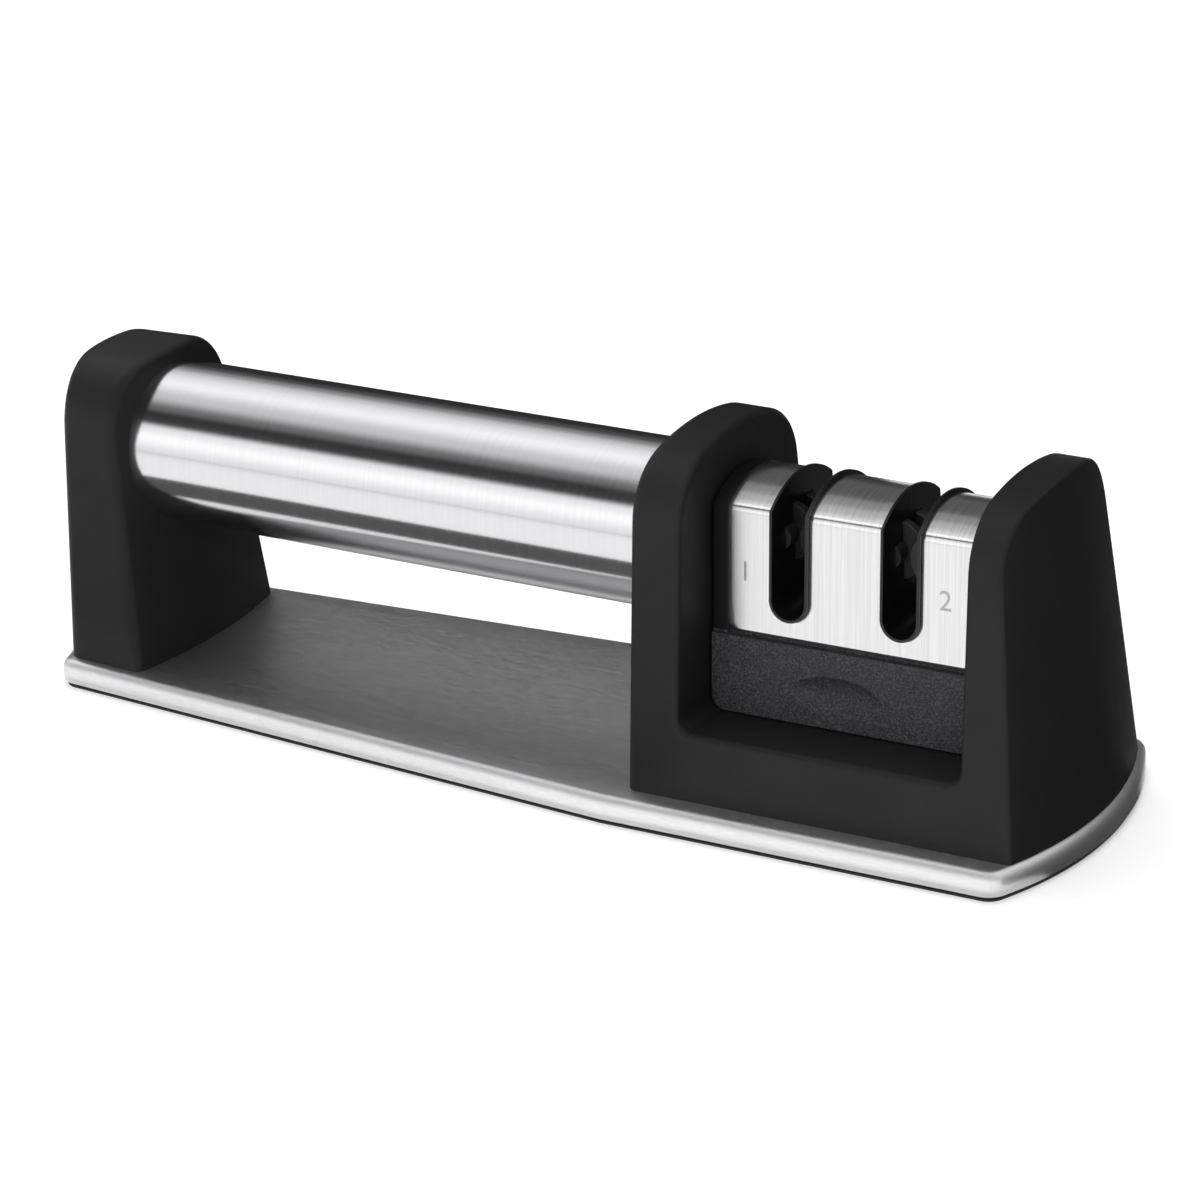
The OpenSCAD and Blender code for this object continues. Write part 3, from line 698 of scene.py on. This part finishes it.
def spread(tree, value, low, high, from_low=0.3, from_high=0.7):
    """Maps a value between from_low and from_high onto the range low to high."""
    return node(tree, "ShaderNodeMapRange", Value=value, From_Min=from_low, From_Max=from_high,
                To_Min=low, To_Max=high).outputs[0]


def relief(tree, shader, value, depth, rounded=0.0):
    """Bump of a depth in millimetres, over edges rounded by a radius in millimetres."""
    bump = node(tree, "ShaderNodeBump", Strength=1.0, Distance=depth * MM, Height=value)
    if rounded:
        edge = node(tree, "ShaderNodeBevel", Radius=rounded * MM)
        edge.samples = 6
        wire(tree, bump, Normal=edge.outputs[0])
    wire(tree, shader, Normal=bump.outputs[0])


def new_finish(name, colour, metallic, roughness, specular=0.5):
    """Material with a named surface shader, its node tree and the shader."""
    mat = bpy.data.materials.new(name)
    mat.use_nodes = True
    tree = mat.node_tree
    shader = wire(tree, tree.nodes["Principled BSDF"], Metallic=metallic, Roughness=roughness,
                  Specular_IOR_Level=specular, Base_Color=(*colour, 1))
    return mat, tree, shader


def brushed(name, colour, roughness, across, scale, anisotropy, variation=0.05, depth=0.0015,
            rounded=0.0, broad=0.4):
    """Brushed steel: streaks in colour, roughness and relief along the brushing, broad of
    them wide ones, and a highlight that spreads across it, along the vector across or the
    mesh's attribute of that name. scale is the streaks' number per metre on each axis."""
    mat, tree, shader = new_finish(name, colour, 1.0, roughness)
    fine = streaks(tree, scale, 4.0)
    wide = streaks(tree, tuple(c * 0.22 for c in scale), 2.0)
    both = maths(tree, "MULTIPLY_ADD", fine, 1 - broad, maths(tree, "MULTIPLY", wide, broad))
    value = spread(tree, both, 0.0, 1.0, 0.36, 0.64)
    wire(tree, shader, Base_Color=toned(tree, value, colour, 1 - variation, 1 + variation),
         Roughness=spread(tree, value, roughness * 0.85, roughness * 1.2, 0.0, 1.0))
    relief(tree, shader, value, depth, rounded)
    if anisotropy:
        if isinstance(across, str):
            way = tree.nodes.new("ShaderNodeAttribute")
            way.attribute_name = across
            way = way.outputs["Vector"]
        else:
            way = fed(tree, "ShaderNodeCombineXYZ", across).outputs[0]
        wire(tree, shader, Anisotropic=anisotropy, Tangent=way)
    return mat


def moulded(name, colour, roughness, grain, depth, variation=0.12, rounded=0.0, gloss=0.5):
    """Moulded plastic or rubber: a fine spark-eroded grain in relief and colour, with
    grain in features per metre, and cloudy changes of roughness."""
    mat, tree, shader = new_finish(name, colour, 0.0, roughness, gloss)
    fine = streaks(tree, (grain, grain, grain), 2.0)
    cloud = streaks(tree, (90, 90, 90), 2.0)
    value = spread(tree, fine, 0.0, 1.0)
    wire(tree, shader, Base_Color=toned(tree, value, colour, 1 - variation, 1 + variation),
         Roughness=spread(tree, cloud, roughness * 0.92, roughness * 1.08))
    relief(tree, shader, fine, depth, rounded)
    return mat


def part_grained(name, grained, polished_with_painted_shade, level, grain):
    """Plastic with a coarse spark-eroded grain up to a level in millimetres, smoother and much
    darker above it, partly for its polish and partly as painted shade of the slots' recesses, with
    a fine joint line where the two shells meet at Y = 0."""
    mat, tree, shader = new_finish(name, grained, 0.0, 0.5, 0.4)
    parts = parts_of(tree, coords(tree))
    above = spread(tree, parts["Z"], 0.0, 1.0, (level - 0.05) * MM, (level + 0.05) * MM)
    joint = spread(tree, maths(tree, "ABSOLUTE", parts["Y"]), 0.0, 1.0, 0.05 * MM, 0.16 * MM)
    dots = spread(tree, streaks(tree, (grain, grain, grain)), 0.0, 1.0, 0.42, 0.66)
    # Painted shade: the darker skin above the level stands partly for the shade inside the slots
    skins = toned(tree, dots, grained, 0.5, 3.4), toned(tree, joint, polished_with_painted_shade, 0.0, 1.0)
    wire(tree, shader, Base_Color=mixed(tree, above, *skins, "RGBA"),
         Roughness=spread(tree, above, 0.52, 0.3, 0.0, 1.0))
    relief(tree, shader, mixed(tree, above, dots, joint), 0.07, 0.15)
    return mat


def gritty(name, colour, roughness, grain, depth):
    """Grit of crystals: cells of different tone with their own facets in relief, with
    grain in cells per metre."""
    mat, tree, shader = new_finish(name, colour, 0.0, roughness, 0.3)
    cells = node(tree, "ShaderNodeTexVoronoi", Vector=coords(tree), Scale=grain).outputs
    tone = node(tree, "ShaderNodeSeparateColor", Color=cells["Color"]).outputs
    wire(tree, shader, Base_Color=toned(tree, tone[0], colour, 0.6, 1.8),
         Roughness=spread(tree, tone[1], roughness * 0.6, roughness * 1.3, 0.0, 1.0))
    relief(tree, shader, cells["Distance"], depth, 0.1)
    return mat


def bare_tree(owner):
    """Node tree of a material or a world, cleared of its nodes."""
    owner.use_nodes = True
    owner.node_tree.nodes.clear()
    return owner.node_tree


def dress(material, *names):
    """Gives solids that stay in view their finish."""
    for name in names:
        solid = frame["nodes"][name]
        if not solid.material_slots:
            solid.data.materials.append(material)
        for place in solid.material_slots:
            place.material = material


# Settings

def length_setting(name, description, default):
    """Setting of a length, with its default in millimetres."""
    return FloatProperty(name=name, description=description, default=default * MM,
                         unit="LENGTH", subtype="DISTANCE")


def colour_setting(name, description, *default):
    """Setting of a colour in linear light."""
    return FloatVectorProperty(name=name, description=description, default=default,
                               subtype="COLOR", size=3)


class SharpenerSizes(bpy.types.PropertyGroup):
    """Sizes of the finish that the solids don't carry."""
    pan_edge: length_setting("Pan edge", "Radius of the pan's rolled edge", 1.9)
    post_rim: length_setting("Post rim", "Radius of the post's rim", 1.5)
    head_rim: length_setting("Head rim", "Radius of the head's rim at the handle", 2.2)
    bay_rim: length_setting("Bay rim", "Radius of the edges of the bay", 1.1)
    tower_rim: length_setting("Tower rim", "Radius of the edge at the head's end", 0.6)
    mat_groove: length_setting("Mat groove", "Depth of the groove round the mat", 0.3)
    cover_fold: length_setting("Cover fold", "Length over which the cover's bend is softened", 1.2)
    numeral: length_setting("Numeral", "Height of the numerals on the cover", 3.6)
    tube_sides: IntProperty(name="Tube sides", description="Faces round the handle tube",
                            default=144, min=32, max=256)


class SharpenerColours(bpy.types.PropertyGroup):
    """Colours of the finishes."""
    pan: colour_setting("Pan", "Brushed steel of the base", 0.765, 0.765, 0.77)
    tube: colour_setting("Tube", "Brushed steel of the handle", 0.66, 0.66, 0.67)
    cover: colour_setting("Cover", "Brushed steel of the cover", 0.68, 0.68, 0.68)
    moulding: colour_setting("Mouldings", "Post and head", 0.009, 0.009, 0.010)
    cartridge: colour_setting("Cartridge", "Spark-eroded plastic of the cartridge",
                              0.020, 0.020, 0.022)
    # Painted shade in part: far darker than the cartridge, for the shade inside the slots as well
    # as the polish
    slots: colour_setting("Slots", "Polished plastic of the slots and lips", 0.004, 0.004, 0.0045)
    rubber: colour_setting("Mat", "Rubber of the mat", 0.012, 0.012, 0.012)
    numeral: colour_setting("Numerals", "Etched numerals on the cover", 0.44, 0.44, 0.445)
    # Painted shade in part: the disc colours are near black, darkened to stand in for the shade
    # inside the slots
    grit: colour_setting("Grit", "Coarse discs", 0.005, 0.005, 0.0052)
    ceramic: colour_setting("Ceramic", "Fine discs", 0.013, 0.013, 0.0128)


class StudioSettings(bpy.types.PropertyGroup):
    """Camera and light."""
    camera: FloatVectorProperty(name="Camera", description="Place of the camera", size=3,
                                default=(0.36615, -0.57107, 0.30884), unit="LENGTH",
                                subtype="TRANSLATION")
    look: FloatVectorProperty(name="Look", description="Direction of the camera's view", size=3,
                              default=(-0.49232, 0.78038, -0.38551), subtype="DIRECTION")
    roll: FloatProperty(name="Roll", description="Turn of the camera round its view",
                        default=float(np.radians(-3.2)), unit="ROTATION", subtype="ANGLE")
    lens: FloatProperty(name="Lens", description="Focal length on a 36 mm sensor",
                        default=124.1, min=1.0)
    fill: FloatProperty(name="Fill", description="Even light from all round",
                        default=0.7, min=0.0)
    key: FloatProperty(name="Key", description="Power of the overhead softbox, in watts",
                       default=4.2, min=0.0)


def mm(length):
    """Millimetres of a length in metres."""
    return length / MM


# Pieces

class SHARPENER_OT_base(bpy.types.Operator):
    """Pressed steel pan and its rubber mat"""
    bl_idname = "sharpener.base"
    bl_label = "Base"

    def satin_edge(self, steel):
        """Duller steel where the sheet was drawn round the edge, by height."""
        tree = steel.node_tree
        rough = tree.nodes["Principled BSDF"].inputs["Roughness"]
        flat = rough.links[0].from_socket
        low, high = (c * MM for c in SATIN_BAND)
        top = spread(tree, parts_of(tree, coords(tree))["Z"], 0.0, 1.0, low, high)
        feed(tree, mixed(tree, top, SATIN_ROUGHNESS, flat), rough)

    def execute(self, context):
        sizes, colours = context.scene.sharpener_sizes, context.scene.sharpener_colours
        r = mm(sizes.pan_edge)
        edge = [(r - q[0], BASE_H - r + q[1]) for q in arc((0, 0), r, 0, 90, 8)]
        walls, mirror, lid = round_the_base([(0.0, MAT_T)] + edge, lids=(False, True))
        pan = new_mesh("pressed_pan", [walls, mirror, lid],
                       across=[up_the_wall(walls), up_the_wall(mirror), 0 * lid + (0, 1, 0)])
        walled(pan, PAN_T)
        steel = brushed("pan steel, brushed along", colours.pan, 0.36, "across",
                        scale=(420, 5200, 5200), anisotropy=0.35, variation=0.06,
                        depth=0.0012, broad=0.25)
        self.satin_edge(steel)
        settle(pan, "base", steel, ["base_pan"])
        deep = MAT_INSET + mm(sizes.mat_groove)
        mat = new_mesh("rubber_mat", round_the_base([
            (MAT_INSET + MAT_CHAMFER, 0.0), (MAT_INSET, MAT_CHAMFER), (MAT_INSET, GROOVE_LOW),
            (deep, GROOVE_LOW + GROOVE_SLOPE), (deep, GROOVE_HIGH - GROOVE_SLOPE),
            (MAT_INSET, GROOVE_HIGH), (MAT_INSET, MAT_T),
        ]))
        rubber = moulded("mat rubber", colours.rubber, 0.7, grain=3000, depth=0.01)
        settle(mat, "base", rubber, ["base_mat"])
        return {"FINISHED"}


class SHARPENER_OT_post(bpy.types.Operator):
    """Moulded post at the handle's left end"""
    bl_idname = "sharpener.post"
    bl_label = "Post"

    def execute(self, context):
        r = mm(context.scene.sharpener_sizes.post_rim)
        post_c = -BASE_LEN / 2 + POST_END_R
        grid = bell_block(
            post_section,
            lambda y, z: cone_wall(post_c, POST_END_R - POST_SETBACK, POST_OUTER_LEAN, y, z, -1),
            lambda y, z: cone_wall(POST_INNER - POST_BOW_R, POST_BOW_R, POST_INNER_LEAN, y, z, 1),
            r, r, bell_rows(side=20, shoulder=16, crest=12))
        foot = grid[:1] * (1, 0, 1)
        post = new_mesh("moulded_post", mirrored(np.concatenate([foot, grid])))
        black = bpy.data.materials["black moulding"]
        settle(post, "base", black, ["handle_post"])
        return {"FINISHED"}


class SHARPENER_OT_head(bpy.types.Operator):
    """Moulded head: pillar, sill and tower, with its guide ribs"""
    bl_idname = "sharpener.head"
    bl_label = "Head"

    def execute(self, context):
        sizes = context.scene.sharpener_sizes
        grids = mirrored(head_grid(mm(sizes.head_rim), mm(sizes.bay_rim), mm(sizes.tower_rim)))
        top = BAY_FLOOR + GUIDE_H
        for x in (BAY_X0, BAY_X1):
            grids.append(bar(x - GUIDE_T, x + GUIDE_T, -GUIDE_W / 2, GUIDE_W / 2,
                             BAY_FLOOR - GUIDE_T, top, GUIDE_EDGE_R))
        head = new_mesh("moulded_head", grids)
        black = bpy.data.materials["black moulding"]
        settle(head, "base", black, ["head_housing"])
        return {"FINISHED"}


class SHARPENER_OT_tube(bpy.types.Operator):
    """Handle tube, brushed round its girth"""
    bl_idname = "sharpener.tube"
    bl_label = "Handle tube"

    def execute(self, context):
        sizes, colours = context.scene.sharpener_sizes, context.scene.sharpener_colours
        x0, x1, r = TUBE_X0 + SEAT_GAP, TUBE_X1 - SEAT_GAP, TUBE_D / 2
        profile = [(x, r) for x in np.linspace(x0, x1, 25)]
        profile += [(x1, r - TUBE_WALL), (x0, r - TUBE_WALL), (x0, r)]
        skin = revolved(profile, sizes.tube_sides, (0, 0, TUBE_Z), "X")
        tube = new_mesh("handle_tube_skin", [skin])
        steel = brushed("tube steel, brushed round", colours.tube, 0.13, (1, 0, 0),
                        scale=(5200, 30, 30), anisotropy=0.5, variation=0.03, broad=0.12)
        settle(tube, "base", steel, ["handle_tube"])
        return {"FINISHED"}


class SHARPENER_OT_cover(bpy.types.Operator):
    """Bent steel cover of the cartridge"""
    bl_idname = "sharpener.cover"
    bl_label = "Cover"

    def execute(self, context):
        sizes, colours = context.scene.sharpener_sizes, context.scene.sharpener_colours
        cover = new_mesh("bent_cover", cover_grids(mm(sizes.cover_fold)), sharp=50.0)
        walled(cover, COVER_T)
        bevelled(cover, COVER_EDGE, segments=2, angle=50.0)
        steel = brushed("cover steel, brushed upwards", colours.cover, 0.21, (1, 0, 0),
                        scale=(4600, 60, 44), anisotropy=0.5, variation=0.09, broad=0.25)
        settle(cover, "cartridge", steel, ["cartridge_cover"])
        return {"FINISHED"}


class SHARPENER_OT_numerals(bpy.types.Operator):
    """Numerals 1 and 2 beside the slots"""
    bl_idname = "sharpener.numerals"
    bl_label = "Numerals"

    def execute(self, context):
        sizes, colours = context.scene.sharpener_sizes, context.scene.sharpener_colours
        etched = brushed("etched steel", colours.numeral, 0.5, (1, 0, 0),
                         scale=(3000, 3000, 3000), anisotropy=0.0)
        lean = Matrix.Rotation(np.radians(90 - CART_LEAN), 4, "X")
        yaw = Matrix.Rotation(np.radians(HEAD_TAPER), 4, "Z")
        for text, x, z in NUMERALS:
            curve = bpy.data.curves.new("numeral_curve", "FONT")
            curve.body = text
            curve.size = sizes.numeral / CAP_HEIGHT
            curve.extrude = NUMERAL_T * MM
            curve.align_x = "CENTER"
            curve.align_y = "CENTER"
            curve.resolution_u = 6
            drawn = bpy.data.objects.new("numeral_drawn", curve)
            context.scene.collection.objects.link(drawn)
            context.view_layer.update()
            shaped = drawn.evaluated_get(context.evaluated_depsgraph_get())
            mesh = bpy.data.meshes.new_from_object(shaped)
            bpy.data.objects.remove(drawn)
            y = cart_half(x) - LEDGE_PROUD - tan(CART_LEAN) * (z - CART_FOOT)
            mesh.transform(Matrix.Translation((x * MM, -y * MM, z * MM)) @ yaw @ lean)
            piece = bpy.data.objects.new("numeral_" + text, mesh)
            context.scene.collection.objects.link(piece)
            settle(piece, "cartridge", etched)
        return {"FINISHED"}


class SHARPENER_OT_discs(bpy.types.Operator):
    """Grinding discs with chamfered rims"""
    bl_idname = "sharpener.discs"
    bl_label = "Grinding discs"

    def execute(self, context):
        colours = context.scene.sharpener_colours
        # The discs' near-black colours are partly painted shade of the slots
        grit = gritty("diamond grit", colours.grit, 0.6, grain=5500, depth=0.03)
        ceramic = moulded("fine ceramic", colours.ceramic, 0.55, grain=5000, depth=0.006,
                          variation=0.04)
        finishes = {"coarse": ("coarse_grit", grit), "fine": ("fine_ceramic", ceramic)}
        for name in sorted(n for n in frame["nodes"] if "_disc_" in n):
            slot, finish = finishes[name.split("_")[0]]
            low, high = (np.array(c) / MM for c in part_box(name))
            middle = (low + high) / 2
            profile = disc_profile(low[1] - middle[1], high[1] - middle[1],
                                   HUB_D / 2, DISC_D / 2, DISC_CHAMFER)
            disc = new_mesh(name + "_ground", [revolved(profile, DISC_SIDES, middle, "Y")])
            settle(disc, frame["nodes"][name]["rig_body"], finish, [name])
        return {"FINISHED"}


class SHARPENER_OT_finishes(bpy.types.Operator):
    """Finishes of the solids that stay in view"""
    bl_idname = "sharpener.finishes"
    bl_label = "Finishes"

    def execute(self, context):
        colours = context.scene.sharpener_colours
        moulded("black moulding", colours.moulding, 0.55, grain=2600, depth=0.008, gloss=0.25)
        # The slots' darker colour above the grain's top is partly painted shade
        eroded = part_grained("spark-eroded plastic", colours.cartridge, colours.slots,
                              level=GRAIN_TOP, grain=3000)
        insert = moulded("insert plastic", (0.08, 0.08, 0.085), 0.5, grain=2600, depth=0.01,
                         rounded=0.15)
        hub = moulded("hub plastic", (0.012, 0.012, 0.0125), 0.5, grain=2600, depth=0.006,
                      rounded=0.12)
        turned = brushed("turned steel", (0.45, 0.45, 0.46), 0.3, (1, 0, 0),
                         scale=(900, 900, 900), anisotropy=0.0, rounded=0.12)
        nodes = frame["nodes"]
        dress(eroded, "cartridge_front_shell", "cartridge_rear_shell")
        dress(insert, "base_core")
        dress(hub, *[n for n in nodes if "_hub_" in n])
        dress(turned, *[n for n in nodes if "_axle_" in n or n.endswith("_screws")])
        return {"FINISHED"}


# Stage

def level(z, *corners):
    """Corners (x, y) of a card that lies level at the height z."""
    return [(x, y, z) for x, y in corners]


WHITE = (1, 1, 1, 1)
FLOOR_HALF = 4000.0
FLOOR_PAINT = (0.82, 0.82, 0.82, 1)
FLOOR_GLOW = 0.34
LAMP_AIM = (0, 0, 0.03)
# Change of the even fill by the direction that it comes from
FILL_SLOPE = (-0.35, -0.2, -0.2)

# What metal sees of the world: greys by the angle in degrees round the X axis from straight
# up, positive towards the front
WORLD_GREYS = (
    (-120, 1.0), (-94, 0.95), (-85, 0.1), (-78, 0.05), (-65, 0.09), (-54, 0.33),
    (-42, 0.82), (-30, 1.15), (-18, 1.35), (8, 0.8), (26, 0.2), (36, 0.04),
    (47, 0.06), (57, 1.2), (70, 1.5), (90, 1.1), (120, 1.05),
)

# Cards that only reflections see: name, grey and four corners in millimetres
CARDS = (
    ("rear flag", 0.03, [(-250, 70, 10), (30, 70, 10), (-250, 70, 88), (30, 70, 70)]),
    ("side flag", 0.06, level(0.4, (102, -28.5), (500, -70), (106, 400), (500, 400))),
    ("back flag", 0.12, level(0.4, (-300, 34), (100, 34), (-300, 300), (100, 300))),
    # Painted shadow: a dark strip over the floor in front of the base, seen from above, stands in
    # for the handle tube's shadow there
    ("front painted shadow", 0.12,
     [(-200, -62, 6), (30, -62, 6), (-200, -30.5, 5.6), (30, -30.5, 5.6)]),
    ("front card", 1.25, level(0.3, (0, -100), (130, -100), (0, -32.5), (130, -32.5))),
    ("crown card", 1.5, level(100, (0, -47), (105, -47), (2, -24), (105, -24))),
    ("crown flag 1", 0.95, level(100, (2, -24), (105, -24), (2, -10), (105, -10))),
    ("crown flag 2", 0.6, level(100, (2, -10), (105, -10), (2, 2), (105, 2))),
    ("crown flag 3", 0.33, level(100, (2, 2), (105, 2), (0, 18), (105, 18))),
    ("crown flag 4", 0.12, level(100, (0, 18), (105, 18), (-22, 100), (105, 100))),
    ("end flag", 0.04, [(80, 225, 0), (450, -6, 0), (80, 225, 150), (450, -6, 150)]),
)


class SHARPENER_OT_stage(bpy.types.Operator):
    """White floor, studio light and the camera"""
    bl_idname = "sharpener.stage"
    bl_label = "Stage"

    def floor(self):
        """White ground that glows a little to the camera and to metal."""
        side = np.linspace(-FLOOR_HALF, FLOOR_HALF, 9)
        x, y = np.meshgrid(side, side)
        ground = new_mesh("floor", [points(x, y, 0.0)])
        ground.data.materials.append(bpy.data.materials.new("white floor"))
        tree = bare_tree(ground.active_material)
        ray = tree.nodes.new("ShaderNodeLightPath").outputs
        bent = maths(tree, "MAXIMUM", ray["Is Glossy Ray"], ray["Is Transmission Ray"])
        seen = maths(tree, "MAXIMUM", ray["Is Camera Ray"], bent)
        paper = node(tree, "ShaderNodeBsdfDiffuse", Color=FLOOR_PAINT).outputs[0]
        glow = node(tree, "ShaderNodeEmission", Color=WHITE,
                    Strength=maths(tree, "MULTIPLY", seen, FLOOR_GLOW)).outputs[0]
        both = fed(tree, "ShaderNodeAddShader", (paper, glow)).outputs[0]
        node(tree, "ShaderNodeOutputMaterial", Surface=both)

    def world(self, scene, fill):
        """Studio round the object. Metal sees the world's greys by the angle round the X
        axis, the camera sees white, and all else an even fill that is tilted a little."""
        scene.world = bpy.data.worlds.new("studio")
        tree = bare_tree(scene.world)
        way = coords(tree, "Generated")
        parts = parts_of(tree, way)
        turn = maths(tree, "ARCTAN2", maths(tree, "MULTIPLY", parts["Y"], -1.0), parts["Z"])
        first, last = WORLD_GREYS[0][0], WORLD_GREYS[-1][0]
        place = spread(tree, turn, 0.0, 1.0, float(np.radians(first)), float(np.radians(last)))
        ramp = node(tree, "ShaderNodeValToRGB", Fac=place)
        ramp.color_ramp.interpolation = "EASE"
        stops = ramp.color_ramp.elements
        for i, (angle, grey) in enumerate(WORLD_GREYS):
            at = (angle - first) / (last - first)
            stop = stops[i] if i < 2 else stops.new(at)
            stop.position = at
            stop.color = (grey, grey, grey * 1.01, 1)
        slope = fed(tree, "ShaderNodeVectorMath", (way, FILL_SLOPE), "DOT_PRODUCT")
        tilted = maths(tree, "MULTIPLY_ADD", slope.outputs["Value"], fill, fill)
        metal, even, white = (
            node(tree, "ShaderNodeBackground", Color=colour, Strength=strength).outputs[0]
            for colour, strength in ((ramp.outputs[0], 1.0), (WHITE, tilted), (WHITE, 1.0)))
        ray = tree.nodes.new("ShaderNodeLightPath").outputs
        shine = either(tree, ray["Is Glossy Ray"], even, metal)
        view = either(tree, ray["Is Camera Ray"], shine, white)
        node(tree, "ShaderNodeOutputWorld", Surface=view)

    def card(self, name, grey, corners, from_above=False):
        """Card that only reflections see, from its four corners. Some are seen from above
        alone."""
        sheet = new_mesh(name, [np.array(corners, float).reshape(2, 2, 3)])
        for ray in ("camera", "diffuse", "shadow", "transmission", "volume_scatter"):
            setattr(sheet, "visible_" + ray, False)
        sheet.data.materials.append(bpy.data.materials.new(name))
        tree = bare_tree(sheet.active_material)
        surface = node(tree, "ShaderNodeEmission", Color=(grey, grey, grey, 1)).outputs[0]
        if from_above:
            behind = tree.nodes.new("ShaderNodeNewGeometry").outputs["Backfacing"]
            clear = tree.nodes.new("ShaderNodeBsdfTransparent").outputs[0]
            surface = either(tree, behind, surface, clear)
        node(tree, "ShaderNodeOutputMaterial", Surface=surface)

    def lamp(self, scene, name, power, place, size):
        """Softbox that shines at the object and isn't mirrored in it."""
        light = bpy.data.lights.new(name, "AREA")
        light.energy = power
        light.shape = "RECTANGLE"
        light.size, light.size_y = size
        piece = bpy.data.objects.new(name, light)
        piece.visible_glossy = False
        piece.location = place
        aim = Vector(LAMP_AIM) - Vector(place)
        piece.rotation_euler = aim.to_track_quat("-Z", "Y").to_euler()
        scene.collection.objects.link(piece)

    def camera(self, scene, studio):
        """Camera that looks along the setting's direction, turned round it by the roll."""
        ahead = Vector(studio.look).normalized()
        right = ahead.cross(Vector((0, 0, 1))).normalized()
        up = right.cross(ahead)
        c, s = np.cos(studio.roll), np.sin(studio.roll)
        turn = Matrix((right * c + up * s, up * c - right * s, -ahead)).transposed()
        camera = bpy.data.objects.new("camera", bpy.data.cameras.new("camera"))
        camera.data.sensor_width = 36.0
        camera.data.lens = studio.lens
        camera.data.clip_end = 20.0
        camera.matrix_world = Matrix.Translation(Vector(studio.camera)) @ turn.to_4x4()
        scene.collection.objects.link(camera)
        scene.camera = camera

    def execute(self, context):
        scene, studio = context.scene, context.scene.sharpener_studio
        self.floor()
        self.world(scene, studio.fill)
        for name, grey, corners in CARDS:
            self.card(name, grey, corners, from_above=name == "front painted shadow")
        self.lamp(scene, "overhead softbox", studio.key, (-0.1, 0.25, 0.9), (0.8, 0.6))
        self.lamp(scene, "front softbox", studio.key * 0.7, (0.2, -0.9, 0.5), (0.9, 0.5))
        self.camera(scene, studio)
        scene.view_settings.view_transform = "Standard"
        return {"FINISHED"}


STEPS = (
    SHARPENER_OT_finishes, SHARPENER_OT_base, SHARPENER_OT_post, SHARPENER_OT_head,
    SHARPENER_OT_tube, SHARPENER_OT_cover, SHARPENER_OT_numerals, SHARPENER_OT_discs,
    SHARPENER_OT_stage,
)


class SHARPENER_PT_panel(bpy.types.Panel):
    """Lists the pieces and their settings"""
    bl_idname = "SHARPENER_PT_panel"
    bl_label = "Knife sharpener"
    bl_space_type = "VIEW_3D"
    bl_region_type = "UI"
    bl_category = "Sharpener"

    def draw(self, context):
        layout, scene = self.layout, context.scene
        for step in STEPS:
            layout.operator(step.bl_idname)
        for group in (scene.sharpener_sizes, scene.sharpener_colours, scene.sharpener_studio):
            box = layout.box()
            for name in group.__annotations__:
                box.prop(group, name)


CLASSES = (SharpenerSizes, SharpenerColours, StudioSettings, *STEPS, SHARPENER_PT_panel)


def register():
    """Adds the classes and the scene's settings."""
    for cls in CLASSES:
        bpy.utils.register_class(cls)
    bpy.types.Scene.sharpener_sizes = PointerProperty(type=SharpenerSizes)
    bpy.types.Scene.sharpener_colours = PointerProperty(type=SharpenerColours)
    bpy.types.Scene.sharpener_studio = PointerProperty(type=StudioSettings)


def unregister():
    """Removes what register added."""
    del bpy.types.Scene.sharpener_studio
    del bpy.types.Scene.sharpener_colours
    del bpy.types.Scene.sharpener_sizes
    for cls in reversed(CLASSES):
        bpy.utils.unregister_class(cls)


def main():
    """Runs every operator."""
    register()
    for step in STEPS:
        group, name = step.bl_idname.split(".")
        getattr(getattr(bpy.ops, group), name)()


if __name__ == "__main__":
    main()
